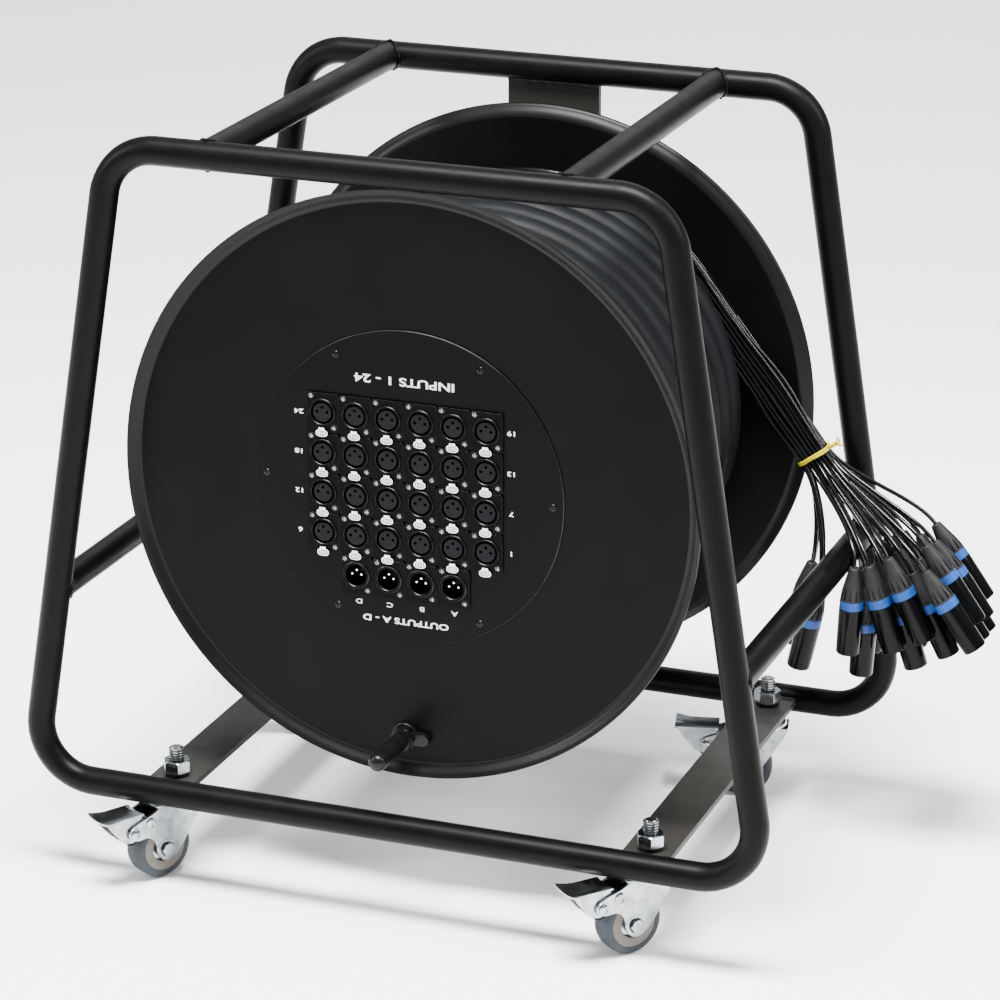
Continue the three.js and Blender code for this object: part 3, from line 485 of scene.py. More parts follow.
class TailSizes(bpy.types.PropertyGroup):
    strand_radius: length_of("Strand radius", "Radius of one tail", 0.0017)
    plug_ring: colour_of(
        "Plug ring", "Colour of the rings on the tails' plugs", FINISHES["ring_blue"][0])
    socket_ring: colour_of(
        "Socket ring", "Colour of the rings on the tails' sockets", FINISHES["ring_red"][0])


class StageSizes(bpy.types.PropertyGroup):
    floor_size: length_of("Floor size", "Side of the square floor", 40)
    floor_colour: colour_of("Floor colour", "Colour of the floor", (0.90, 0.90, 0.90))
    light: bpy.props.FloatProperty(
        name="Light", description="Share of the lights' full strength", default=1.0,
        subtype="FACTOR", min=0, max=4)


# Stage

# Soft boxes: place and aim in metres from the middle of the floor, width, height, power in watts
SOFT_BOXES = (
    ((0.1, -0.7, 3), (0, 0, 0.3), 1.8, 0.7, 540),
    ((-2.7, -1.4, 1.7), (0, 0, 0.3), 0.4, 1.8, 80),
    ((2.5, 0.1, 2.2), (0, 0, 0.3), 0.5, 1.8, 120),
    ((-0.6, 4.6, 3), (-0.8, 5.5, 0), 3.4, 1.0, 170),
)
FLOOR_GAP = 0.0005
SURROUND = (0.95, 0.97, 1.0, 1)
SURROUND_STRENGTH = 0.68
# The camera of the photograph: place, azimuth with elevation and roll, and focal length
CAMERA_PLACE = (1006.77, -2454.43, 1268.42)
CAMERA_ANGLES = (20.467, 19.329, 0.1775)
CAMERA_LENS = 137.62


class DRUM_OT_stage(bpy.types.Operator):
    """Make the floor, the soft boxes and the camera"""
    bl_idname = "cable_drum.stage"
    bl_label = "Stage"

    def execute(self, context):
        scene = context.scene
        sizes = scene.cable_drum_stage
        deselect()
        bpy.ops.mesh.primitive_plane_add(size=sizes.floor_size, location=(0, 0, -FLOOR_GAP))
        floor = bpy.context.object
        floor.name = "floor"
        paper = bpy.data.materials.new("floor_paper")
        paper.use_nodes = True
        inputs = paper.node_tree.nodes["Principled BSDF"].inputs
        inputs["Roughness"].default_value = 0.9
        inputs["Specular IOR Level"].default_value = 0.1
        inputs["Base Color"].default_value = (*sizes.floor_colour, 1)
        floor.data.materials.append(paper)
        for i, (place, aim, width, height, power) in enumerate(SOFT_BOXES):
            light = bpy.data.lights.new(f"soft_box_{i + 1}", "AREA")
            light.shape = "RECTANGLE"
            light.size = width
            light.size_y = height
            light.energy = power * sizes.light
            lamp = linked(light.name, light)
            lamp.location = place
            lamp.rotation_euler = (Vector(aim) - Vector(place)).to_track_quat("-Z", "Y").to_euler()
        scene.world = scene.world or bpy.data.worlds.new("studio")
        scene.world.use_nodes = True
        inputs = scene.world.node_tree.nodes["Background"].inputs
        inputs["Color"].default_value = SURROUND
        inputs["Strength"].default_value = SURROUND_STRENGTH
        azimuth, elevation, roll = (radians(a) for a in CAMERA_ANGLES)
        back = Vector((
            sin(azimuth) * cos(elevation), -cos(azimuth) * cos(elevation), sin(elevation)))
        right = Matrix.Rotation(roll, 3, back) @ Vector((cos(azimuth), sin(azimuth), 0))
        camera = bpy.data.cameras.new("camera")
        camera.sensor_width = 36
        camera.lens = CAMERA_LENS
        camera.clip_end = 100
        viewer = linked("camera", camera)
        turn = Matrix((right, back.cross(right), back)).transposed().to_4x4()
        viewer.matrix_world = LAYOUT @ at(*CAMERA_PLACE) @ turn
        scene.camera = viewer
        return {"FINISHED"}


# Tails

def pile_boots(pile, touch=18.9, lean=-0.14):
    """Where each connector's boot begins, each leaning on the one before."""
    first, direction, members = pile
    point = Vector(direction).normalized()
    side = Vector((-point.z, 0, point.x)).normalized()
    depth = side.cross(point).normalized()
    depth = depth if depth.y > 0 else -depth
    back = 0.0
    previous = members[0][0]
    boots = []
    for k, (sideways, slide) in enumerate(members):
        if k:
            shift = sideways - previous
            square = 1 + lean**2
            linear = shift * lean
            root = sqrt(linear**2 - square * (shift**2 - touch**2))
            back += (root - linear) / square
        previous = sideways
        boots.append(
            Vector(first) + side * (sideways + lean * back) + depth * back + point * slide)
    return boots


def tie_slot(row, column):
    return (
        TIE + TIE_SPREAD * (centred(row, ROWS) * STRAND_PITCH)
        + Vector((0, centred(column, COLUMNS) * STRAND_PITCH, 0)))


def groove_radius(row):
    return WINDING - 2 * CABLE + STRAND_PITCH * (row + 0.5)


def groove_y(column):
    return REAR_INNER - SIDE_ROOM - STRAND_PITCH * (COLUMNS - column - 0.5)


def leaving_angle(row, column):
    """Angle at which a strand leaves its groove on the drum towards the tie."""
    slot = tie_slot(row, column)
    x, z = slot.x, slot.z - DRUM_Z
    return degrees(atan2(z, x) + acos(groove_radius(row) / hypot(x, z)))


def strand_exit(row, column):
    """Where a strand comes out of the space that the drum sweeps."""
    slot = tie_slot(row, column)
    radius = groove_radius(row)
    x, z = polar(radius, leaving_angle(row, column))
    distance = hypot(slot.x, slot.z - DRUM_Z)
    outside = SWEEP + STRAND + 0.3
    share = sqrt((outside**2 - radius**2) / (distance**2 - radius**2))
    return Vector((x, groove_y(column), z + DRUM_Z)).lerp(slot, share)


def tails():
    """Each tail as (pile, member, row, column, boot, direction)."""
    result = []
    for p, pile in enumerate(PILES):
        first = len(result)
        places = sorted(
            (divmod(first + k, COLUMNS) for k in range(len(pile[2]))), key=lambda rc: rc[::-1])
        for k, boot in enumerate(pile_boots(pile)):
            result.append((p, k, *places[k], boot, Vector(pile[1]).normalized()))
    return result


def hermite(a, b, start, end, t):
    return (
        a * (2 * t**3 - 3 * t**2 + 1) + start * (t**3 - 2 * t**2 + t)
        + b * (3 * t**2 - 2 * t**3) + end * (t**3 - t**2))


def strand_path(row, column, boot, direction):
    """A strand from the drum to the tie in a slight bow, and on to its connector."""
    slot = tie_slot(row, column)
    begin = strand_exit(row, column)
    heading = (slot - begin).normalized()
    across = Vector((heading.z, 0, -heading.x))
    across = -across if across.x < 0 else across
    fan, shift = BOWS[column]
    own_bow = 0.8 * sin(2.1 * row + 1.3 * column)
    own_wave = 0.4 * sin(1.7 * row + 2.3 * column)
    path = []
    for t in (k / 10 for k in range(10)):
        rise = sin(pi * t) ** 2
        bow = rise * (centred(row, ROWS) * STRAND_PITCH * fan + shift + own_bow)
        path.append(begin.lerp(slot, t) + across * bow + Vector((0, own_wave * rise, 0)))
    span = (boot - slot).length
    path += [
        hermite(slot, boot, heading * span * 0.85, direction * span * 0.75, k / 18)
        for k in range(18)]
    return path + [boot, boot + direction * BOOT_REACH]


def connector_shape(is_socket):
    """One cable connector along +Y from its boot: boot, coloured ring, shell and contacts."""
    contacts = [polar(3.8, angle) for angle in (90, 0, 180)]
    boot = turned([
        (0, 0), (3.6, 0), (4.2, 0.6), (5, 4), (6.6, 11), (8.2, 18), (9, 23), (9.2, 27),
        (0, 27)], 40)
    carve(boot, joined([
        moved(block(-0.85, 0.85, 13, 25.5, 7.3, 11), about("Y", 30 * k)) for k in range(12)]))
    ring = soften(turned(rectangle(8, 9.55, 27, 34), 40), 0.35)
    pieces = [finished(boot, "boot_rubber", angle=30),
              finished(ring, "ring_red" if is_socket else "ring_blue")]
    if is_socket:
        shell = turned([
            (0, 34), (9.5, 34), (9.6, 44), (9.2, 46), (9.2, 71.4), (8.7, 72), (7.6, 72),
            (7.6, 64), (6.9, 64), (6.9, 71), (0, 71)], 48)
        carve(shell, joined([rod(1.2, 64, 80, *place, 12) for place in contacts]))
        latch = soften(block(-2.6, 2.6, 38, 50, 8.6, 10.1), 0.6)
        pieces.append(finished(latch, "shell_gloss"))
    else:
        shell = turned([
            (0, 34), (9.7, 34), (9.75, 38), (9.6, 52), (9.35, 71.2), (8.9, 72), (8.3, 72),
            (8, 71), (8, 55), (0, 55)], 48)
        key = soften(block(-1.4, 1.4, 58, 71.5, 6.6, 8.4), 0.3)
        pieces.append(finished(key, "shell_gloss"))
        pieces += [
            finished(soften(rod(1.15, 54, 69.5, *place, 14), 0.5), "pin_silver")
            for place in contacts]
    return joined([*pieces, finished(shell, "shell_gloss", angle=30)])


def groove_strands(places, radius, steps=34):
    """The strands that lie in the groove beside the last turn, up to where they leave it."""
    start = END_ANGLE - 24
    sleeve_radius, sleeve_y = WINDING - CABLE, 316.5  # where the breakout lets them out
    tubes = []
    for _pile, _member, row, column, *_rest in places:
        own_radius = groove_radius(row)
        leave = leaving_angle(row, column)
        points = []
        for k in range(steps + 1):
            merge = min(1, k / 7)
            wave = 0.12 * sin(0.9 * k + row + 2 * column) * min(1, (steps - k) / 6)
            x, z = polar(
                sleeve_radius + (own_radius - sleeve_radius) * merge + wave,
                start + (leave - start) * k / steps)
            points.append((x, sleeve_y + (groove_y(column) - sleeve_y) * merge, z))
        leaving = strand_exit(row, column) - Vector((0, 0, DRUM_Z))
        last = Vector(points[-1])
        points += [last.lerp(leaving, k / 3) for k in (1, 2, 3)]
        tubes.append(pipe(points, radius, resolution=1))
    return finished(joined(tubes), "strand_black", angle=60)


def tie_shape():
    """The twist tie: two loops of wire round the bundle, and their ends twisted together."""
    depth = Vector((0, 1, 0))
    along = TIE_SPREAD.cross(depth)
    loop = []
    for angle in (2 * pi * k / 48 for k in range(48)):
        lift = 1.3 * sin(angle) + 0.5 * sin(3 * angle)
        loop.append(
            TIE + TIE_SPREAD * (14.6 * cos(angle)) + depth * (9.6 * sin(angle)) + along * lift)
    second = [place + along * (1.7 + 0.3 * sin(k / 3)) for k, place in enumerate(loop)]
    wires = [pipe(points, 0.95, closed_loop=True) for points in (loop, second)]
    knot = TIE + TIE_SPREAD * 15.5
    for first_angle in (0, pi):
        points = []
        for k in range(24):
            angle = 0.9 * k + first_angle
            spread = 0.9 + 0.5 * max(0, k - 17)
            points.append(
                knot + TIE_SPREAD * (0.42 * k) + depth * (spread * cos(angle) - 3)
                + along * (spread * sin(angle)))
        wires.append(pipe(points, 0.8))
    return finished(joined(wires), "tie_yellow", angle=60)


class DRUM_OT_tails(bpy.types.Operator):
    """Make the tied tails with a connector on each end"""
    bl_idname = "cable_drum.tails"
    bl_label = "Tails"

    def execute(self, context):
        sizes = context.scene.cable_drum_tails
        radius = sizes.strand_radius / MM
        finish_named("ring_blue", tuple(sizes.plug_ring))
        finish_named("ring_red", tuple(sizes.socket_ring))
        shapes = [connector_shape(False), connector_shape(True)]
        places = tails()
        for i, (pile, member, row, column, boot, direction) in enumerate(places):
            replaces = [f"tail_connectors_{pile + 1}"] if member == 0 else []
            connector = keep(
                copied(shapes[(pile, member) in SOCKETS]), f"tail_connector_{i + 1:02d}", "frame",
                "connector", *replaces,
                place=LAYOUT @ at(*boot) @ facing(direction) @ about("Y", 47 * i + 20))
            path = strand_path(row, column, boot, direction)
            strand = painted(pipe(path, radius, resolution=3, convert=False), "strand_black")
            replaces = ["tail_strands"] if i == 0 else []
            keep(strand, f"tail_{i + 1:02d}", "frame", "strand", *replaces)
        discard(*shapes)
        keep(groove_strands(places, radius), "groove_strands", "drum", "strand", "tail_run")
        keep(tie_shape(), "twist_tie", "frame", "tie", "tail_tie")
        return {"FINISHED"}


# Stand

def hoop_line(sizes, steps=12):
    """Centre line of a hoop in X and Z, and the share of the way through its bend at each point."""
    half_top = sizes.top_width / MM / 2
    half_bottom = sizes.bottom_width / MM / 2
    bend = sizes.bend_radius / MM
    corners = [Vector(c) for c in (
        (half_top, HOOP_TOP), (half_bottom, HOOP_BOTTOM),
        (-half_bottom, HOOP_BOTTOM), (-half_top, HOOP_TOP))]
    points = []
    for i, corner in enumerate(corners):
        back = (corners[i - 1] - corner).normalized()
        ahead = (corners[(i + 1) % 4] - corner).normalized()
        half = acos(back.dot(ahead)) / 2
        centre = corner + (back + ahead).normalized() * (bend / sin(half))
        start = corner + back * (bend / tan(half)) - centre
        # two rings on the straight before the bend, so that the tube's surface stays even
        points += [(corners[i - 1].lerp(corner, share), None) for share in (0.5, 0.7)]
        for k in range(steps + 1):
            angle = (2 * half - pi) * k / steps
            turned_out = Vector((
                start.x * cos(angle) - start.y * sin(angle),
                start.x * sin(angle) + start.y * cos(angle)))
            points.append((centre + turned_out, k / steps))
    return points


def bend_swell(share):
    """The tube flattens a little through a bend and ripples where the bend begins."""
    if share is None:
        return 1.0
    return 1 - 0.022 * sin(pi * share) + 0.012 * cos(4 * pi * share) * (1 - share)


def weld_bead(points, radius, closed_loop=True):
    swell = [1 + 0.26 * sin(1.7 * k) + 0.16 * sin(4.1 * k + 1) for k in range(len(points))]
    return pipe(points, radius, closed_loop=closed_loop, resolution=3, swell=swell)


def saddle(x, z, y, side, lean):
    """The line in which a cross tube meets a hoop's run that leans by an angle."""
    points = []
    for dx, dz in (polar(TUBE, 6 * k) for k in range(60)):
        rise = sqrt(max(TUBE**2 - (dx * cos(lean) + dz * sin(lean))**2, 0))
        points.append((x + dx * 1.03, y + side * (rise + 0.8), z + dz * 1.03))
    return points


class DRUM_OT_hoops(bpy.types.Operator):
    """Make the two hoops of bent tube"""
    bl_idname = "cable_drum.hoops"
    bl_label = "Hoops"

    def execute(self, context):
        line = hoop_line(context.scene.cable_drum_stand)
        for name, y in (("front", 0), ("rear", HOOP_SPACING)):
            hoop = pipe([(p.x, y, p.y) for p, _share in line], TUBE, closed_loop=True,
                        resolution=8, swell=[bend_swell(share) for _point, share in line])
            finished(hoop, "powder_coat", angle=60)
            keep(hoop, f"bent_hoop_{name}", "frame", "black_powder", f"hoop_{name}")
        return {"FINISHED"}


class DRUM_OT_cross_tubes(bpy.types.Operator):
    """Make the four cross tubes with their weld beads"""
    bl_idname = "cable_drum.cross_tubes"
    bl_label = "Cross Tubes"

    def execute(self, context):
        sizes = context.scene.cable_drum_stand
        slope = atan((sizes.bottom_width - sizes.top_width) / 2 / ((HOOP_TOP - HOOP_BOTTOM) * MM))
        for name, x, z, lean in (
                ("top_left", -TOP_TUBE_X, HOOP_TOP, pi / 2),
                ("top_right", TOP_TUBE_X, HOOP_TOP, pi / 2),
                ("low_left", -LOW_TUBE_X, LOW_TUBE_Z, -slope),
                ("low_right", LOW_TUBE_X, LOW_TUBE_Z, slope)):
            tube = rod(TUBE - 0.02, 2, HOOP_SPACING - 2, x, z, 48)
            beads = [
                weld_bead(saddle(x, z, y, side, lean), sizes.weld_bead / MM)
                for y, side in ((0, 1), (HOOP_SPACING, -1))]
            piece = finished(joined([tube, *beads]), "powder_coat", angle=40)
            keep(piece, f"cross_tube_{name}", "frame", "black_powder", f"tube_{name}")
        return {"FINISHED"}


class DRUM_OT_base(bpy.types.Operator):
    """Make the flat bars under the stand and the plate that carries the axle"""
    bl_idname = "cable_drum.base"
    bl_label = "Bars and Support Plate"

    def execute(self, context):
        bead = context.scene.cable_drum_stand.weld_bead / MM
        for name, x in BARS:
            bar = block(x - 19, x + 19, 10.6, HOOP_SPACING - 10.6, BAR_BOTTOM, BAR_TOP)
            carve(bar, *[moved(upright(rod(6.4, -20, 20)), at(x, y, 76)) for y in CASTER_Y])
            soften(bar, 0.5)
            beads = [
                weld_bead([(x + dx, y, z) for dx in range(-18, 19, 2)], bead, False)
                for y in (11.2, HOOP_SPACING - 11.2) for z in (BAR_TOP + 0.2, BAR_BOTTOM - 0.2)]
            piece = finished(joined([bar, *beads]), "bar_coat")
            keep(piece, f"base_bar_{name}", "frame", "black_powder", f"bar_{name}")
        top = HOOP_TOP - TUBE
        bottom = HOOP_BOTTOM + TUBE
        plate = slab(rectangle(-36, 41, bottom - 1, top + 1.5), 1.5, *SUPPORT_Y, 0.4)
        beads = [
            weld_bead([(x, y, z) for x in range(-35, 41, 3)], bead * 1.5, False)
            for z in (top + 0.6, bottom - 0.4) for y in (SUPPORT_Y[0] - 1, SUPPORT_Y[1] + 0.8)]
        # The plate takes the bars' lighter coat: painted light that lifts it out of the shade it
        # stands in.
        piece = finished(joined([plate, *beads]), "bar_coat")
        keep(piece, "axle_plate", "frame", "black_powder", "support_plate")
        return {"FINISHED"}


# Casters, each round its stud under the bar, rolling towards -X

WHEEL = (19.5, -48.4)  # x and z of the wheel's bolt
PEDAL = (48.5, -28.4)
STOP = (33.8, -22.7)
FORK_SIDE = (
    (-18, -11.6), (-17.2, -15.6), (-9.4, -27), (-1.6, -40), (7, -52.5), (13.5, -57.5),
    (19.5, -58.6), (25, -56), (27.6, -49), (29.6, -41), (33, -36.4), (38, -34.4), (47, -35.4),
    (54, -30.4), (53, -23.6), (46, -20.6), (38, -18.2), (30, -15.6), (24, -11.6))


def zinc(*pieces):
    return [finished(p, "bright_zinc") for p in pieces]


def hexagon(radius, y0, y1):
    """A nut: six flats with chamfered corners."""
    nut = rod(radius, y0, y1, steps=6)
    cone = turned([
        (0, y0 - 1), (radius * 0.9, y0 - 1), (radius * 0.9, y0), (radius * 1.04, y0 + 1.2),
        (radius * 1.04, y1 - 1.2), (radius * 0.9, y1), (radius * 0.9, y1 + 1), (0, y1 + 1)], 48)
    apply(nut, "BOOLEAN", operation="INTERSECT", object=cone, solver="EXACT")
    discard(cone)
    return soften(nut, 0.25)


def threaded(radius, y0, y1, pitch=2.1, depth=1.1):
    """A stud with rings of thread, with painted shade between them, and a chamfered end."""
    root = radius - depth
    outline = [(0, y0), (root, y0)]
    y = y0
    while y < y1 - 2.4:
        outline += [(root, y + 0.5), (radius, y + 0.9), (radius, y + 1.5), (root, y + 1.9)]
        y += pitch
    outline += [(radius - 0.9, y1 - 1.2), (radius - 1.7, y1), (0, y1)]
    stud = finished(turned(outline, 48), "bright_zinc", "thread_shadow", angle=25)
    return second_finish(stud, lambda middle, _normal: (
        root - 0.15 < hypot(middle.x, middle.z) < root + 0.65 and middle.y < y1 - 1.5))


def caster_stem_shape():
    washer = soften(turned(rectangle(6.4, 9.2, 5.2, 8.2), 48), 0.4)
    race = turned([
        (0, -0.3), (13, -0.3), (14.6, -1.2), (15.2, -3), (15.2, -5.2), (14.2, -5.7), (0, -5.7)], 64)
    kingpin = soften(rod(5, -16, -5), 0.4)
    head = turned([(0, -13.9), (8, -13.9), (7.6, -15.4), (5, -16.8), (0, -17.2)], 40)
    return upright(joined([
        threaded(5.9, -5, 29), finished(washer, "hub_black"),
        finished(hexagon(11, 8.4, 18.2), "bright_zinc", angle=30),
        *zinc(race, kingpin, head)]))


def fork_shape():
    outline = rounded(FORK_SIDE, 5, 5)
    pieces = [soften(sheet(outline, y, y + 2), 0.35) for y in (-12, 10)]
    pieces.append(soften(flat(rounded(rectangle(-18, 27, -12, 12), 4), -13.4, -11.4), 0.4))
    pieces.append(upright(turned([
        (5.6, -6), (13.4, -6), (14.6, -6.4), (16.4, -8.6), (16.6, -12), (5.6, -12)], 64)))
    pieces.append(rod(3, -10.4, 10.4, *STOP, 24))
    pieces += both_sides([(0, 11.6), (4.2, 11.6), (4.2, 12.6), (3.36, 13.3), (0, 13.5)], STOP, 32)
    for place, radius in ((WHEEL, 8.8), (PEDAL, 5.6)):
        pieces += both_sides(
            [(4.2, 11.6), (radius, 11.6), (radius - 0.4, 12.5), (4.2, 12.5)], place)
    return joined(zinc(*pieces))


def wheel_bolt_shape():
    bolt = [rod(3, -13, 13, steps=24), hexagon(5.6, -15.3, -12.5), hexagon(5.6, 12.5, 15.3)]
    rings = both_sides(rectangle(4.5, 6.1, 12.4, 12.9), (0, 0))
    return joined(zinc(*bolt) + [finished(p, "thread_shadow") for p in rings])


def tyre_shape():
    half = [(18.4, 9.4), (20.6, 9.5), (22.8, 9), (24.1, 7.6), (24.8, 5.2), (25, 2.6)]
    return finished(turned(mirrored(half, (25, 0))), "tyre_grey", angle=50)


def wheel_core_shape():
    web = turned(mirrored([(11.2, -9.3), (12, -9.5), (17.8, -9.5), (18.5, -9.2)]), 80)
    hub = turned(mirrored([(3.4, -9.4), (6.4, -9.4), (6.6, -7.2), (11.4, -6.6)]), 64)
    bushes = both_sides(rectangle(3.3, 6.2, 7, 9.7), (0, 0))
    return joined([finished(web, "core_beige"), *zinc(hub, *bushes)])


def pedal_shape():
    """The brake pedal: a channelled tread with side flanges and the black brake shoe."""
    outline = mirrored([(39, -11.8), (62, -11.8), (70, -13.5), (74.5, -15), (75, -12)])
    tread = flat(rounded(outline, 1.5), -15.6, -14)
    edit(tread)
    cuts = [((x * MM, 0, 0), (1, 0, 0)) for x in range(42, 75, 4)]
    cuts += [((0, y * MM, 0), (0, 1, 0)) for y in range(-12, 13, 3)]
    for place, normal in cuts:
        bpy.ops.mesh.select_all(action="SELECT")
        bpy.ops.mesh.bisect(plane_co=place, plane_no=normal)
    closed(tread)
    for vertex in tread.data.vertices:
        x, y = vertex.co.x / MM, vertex.co.y / MM
        vertex.co.z += (0.0108 * y * y + 0.0016 * max(0, x - 55) ** 2 - 1.0) * MM
    soften(tread, 0.35, angle=50)
    outline = [(40, -15), (73, -14), (69, -21), (57, -35), (49, -36.5), (44, -33), (42, -27)]
    sides = [slab(outline, 2.5, y, y + 1.6, 0.3) for y in (-9.7, 8.1)]
    caps = both_sides([(0, 12.6), (4, 12.6), (4, 13.2), (3, 14), (0, 14.2)], PEDAL, 32)
    pivot = [rod(2.6, -12.6, 12.6, *PEDAL, 24), *caps]
    shoe = slab(
        [(43.5, -31), (56, -31), (60, -26), (54, -37.5), (47.5, -39.5), (43, -36)],
        2, -7.8, 7.8, 0.4)
    return joined([*zinc(tread, *sides, *pivot), finished(shoe, "hub_black")])


class DRUM_OT_casters(bpy.types.Operator):
    """Make the four swivel casters with their brakes"""
    bl_idname = "cable_drum.casters"
    bl_label = "Casters"

    def execute(self, context):
        wheel = at(WHEEL[0], 0, WHEEL[1])
        shapes = (
            ("stem", caster_stem_shape(), "frame", "zinc"),
            ("fork", fork_shape(), "swivel", "zinc"),
            ("wheel_bolt", moved(wheel_bolt_shape(), wheel), "swivel", "zinc"),
            ("tyre", moved(tyre_shape(), wheel), "wheel", "tyre"),
            ("wheel_core", moved(wheel_core_shape(), wheel), "wheel", "wheel_core"),
            ("pedal", pedal_shape(), "pedal", "zinc"))
        for name, x, y, heading in CASTERS:
            place = LAYOUT @ at(x, y, BAR_BOTTOM) @ about("Z", 180 + heading)
            for part, shape, body, slot in shapes:
                keep(copied(shape), f"{name}_{part}",
                     body if body == "frame" else f"{name}_{body}", slot,
                     f"caster_{name}_{part}", place=place)
        discard(*[shape for _part, shape, *_rest in shapes])
        return {"FINISHED"}


# Drum

def flange_outline(face, outward, hole, radius):
    """Outline of a flange from its hole to the flared lip, outward being -1 or +1 along Y."""
    lip = [
        (radius - LIP + 9.3 * t, face + outward * 5.4 * (3 * t**2 - 2 * t**3))
        for t in (k / 10 for k in range(11))]
    edge = [(radius - 0.5, face + outward * 5.9), (radius, face + outward * 5.0),
            (radius - 0.2, face + outward * 3.8)]
    inner = [
        (min(r + 1.2 * min(1, (r - radius + LIP) / 4), radius - 1.2), y - outward * FLANGE_SHEET)
        for r, y in reversed(lip[:-1])]
    return [(hole, face), *lip, *edge, *inner, (hole, face - outward * FLANGE_SHEET)]


class DRUM_OT_flanges(bpy.types.Operator):
    """Make the two flanges with their flared lips"""
    bl_idname = "cable_drum.flanges"
    bl_label = "Flanges"

    def execute(self, context):
        radius = context.scene.cable_drum_drum.flange_radius / MM
        for name, face, outward, hole in (
                ("front", FLANGE_FACE, -1, 104), ("rear", REAR_INNER + FLANGE_SHEET, 1, 30)):
            flange = turned(flange_outline(face, outward, hole, radius), 180)
            finished(flange, "flange_paint", "lip_paint", angle=50)
            # Faces of the lip turned along Y take the lighter, glossier paint: a painted highlight
            # round the lip.
            second_finish(flange, lambda middle, normal: (
                hypot(middle.x, middle.z) > radius - LIP - 0.1 and abs(normal.y) > 0.4))
            keep(flange, f"drum_flange_{name}", "drum", "black_sheet", f"flange_{name}")
        return {"FINISHED"}


def letters(text, x, z, height):
    """Raised print on the panel, upside down as the drum lies."""
    deselect()
    bpy.ops.object.text_add()
    text_data = bpy.context.object.data
    text_data.body = text
    text_data.align_x = "CENTER"
    text_data.align_y = "CENTER"
    text_data.size = height / 0.72 * MM
    text_data.offset = 0.03 * height * MM
    text_data.extrude = 0.04 * MM
    text_data.resolution_u = 4
    bpy.ops.object.convert(target="MESH")
    wide = Matrix.Diagonal((1.5, 1, 1, 1))
    return moved(bpy.context.object,
                 at(x, PANEL_FACE - 0.06, z) @ about("Y", 180) @ about("X", 90) @ wide)


def screw_shape(radius):
    """A small domed screw head with a cross recess, facing -Y from y = 0."""
    head = turned([
        (0, 0.3), (radius, 0.3), (radius, -0.3), (radius * 0.85, -0.8), (radius * 0.5, -1.15),
        (0, -1.3)], 24)
    long, short = radius * 0.7, 0.36
    carve(head, block(-long, long, -2, -0.25, -short, short),
          block(-short, short, -2, -0.25, -long, long))
    return moved(smooth(head, 30), about("Y", 24))


def plate_shape(hole):
    """The plate of a panel connector with its round hole, its face at y = 0."""
    plate = slab(rectangle(-13, 13, -15.5, 15.5), 2.2, 0, 1.9, 0.35, 3)
    return carve(moved(plate, at(0, 0, -0.5)), rod(hole, -3, 3.5, steps=48))


def edged(*pieces):
    """Joins pieces in black connector paint, with a painted highlight, a lighter and glossier
    paint, where their edges are rounded.
    """
    return joined([
        second_finish(finished(p, "connector_black", "edge_sheen"),
                      lambda _middle, normal: -0.95 < normal.y < -0.3)
        for p in pieces])


def tab_outline(half_width, half_height, z=-15.9):
    """Outline of a push tab, between an oval and a rectangle."""
    def fuller(share):
        return copysign(abs(share) ** 0.78, share)
    return [
        (half_width * fuller(cos(t)), z + half_height * fuller(sin(t)))
        for t in (2 * pi * k / 40 for k in range(40))]


def socket_shapes():
    """One panel socket round its plate's face at the origin: body, insert, push tab."""
    ring = turned([
        (9.1, 3), (9.1, -0.9), (9.5, -1.4), (10.4, -1.4), (11, -0.8), (11.2, 0.2), (10.6, 0.6)], 64)
    floor = turned(rectangle(0, 9.6, 9, 9.5), 32)
    lining = turned(rectangle(9.15, 9.7, 1, 9.2), 48)
    insert = soften(turned(rectangle(0, 7.5, -0.5, 9), 56), 0.5)
    carve(insert, joined([rod(1.25, -3, 6, *polar(4, angle), 16) for angle in (90, 4, 176)]))
    recess = -1.45
    tab = sheet(tab_outline(4.8, 2.9), -1.9, -0.3)
    carve(tab, sheet(tab_outline(4, 2.1), -3, recess))
    soften(tab, 0.22, 2, 45)
    neck = slab(rectangle(-2.4, 2.4, -13.6, -11.3), 0.5, -2.2, -0.3, 0.25)
    strokes = [
        slab(rectangle(x - 0.45, x + 0.45, -17.2, -14.7), 0.3, -1.8, -1.3, 0.1)
        for x in (-2, 0, 2)]
    pieces = [finished(p, "tab_nickel", "tab_recess") for p in (tab, neck, *strokes)]
    # The floor of each tab's recess takes the darker metal: painted shade in the recess.
    second_finish(tab, lambda middle, normal: abs(middle.y - recess) < 0.02 and normal.y < -0.9)
    return (edged(plate_shape(9.3), ring, floor, lining), finished(insert, "insert_grey"),
            joined(pieces))


def plug_shapes():
    """One panel plug round its plate's face at the origin: body with its open well, and pins."""
    ring = turned([
        (8.5, 12.5), (8.5, -0.9), (8.9, -1.4), (10.2, -1.4), (10.9, -0.8), (11.1, 0.3), (9.4, 0.8),
        (9.2, 12.5)], 64)
    floor = turned(rectangle(0, 9, 12.2, 13), 40)
    pins = [soften(rod(1, 1, 13, *polar(3.8, angle), 18), 0.5, 3) for angle in (90, 8, 172)]
    return edged(plate_shape(8.7), ring, floor), joined([finished(p, "pin_silver") for p in pins])


def spread(shape, places):
    """One piece of copies of a shape."""
    return joined([moved(copied(shape), at(*place)) for place in places])


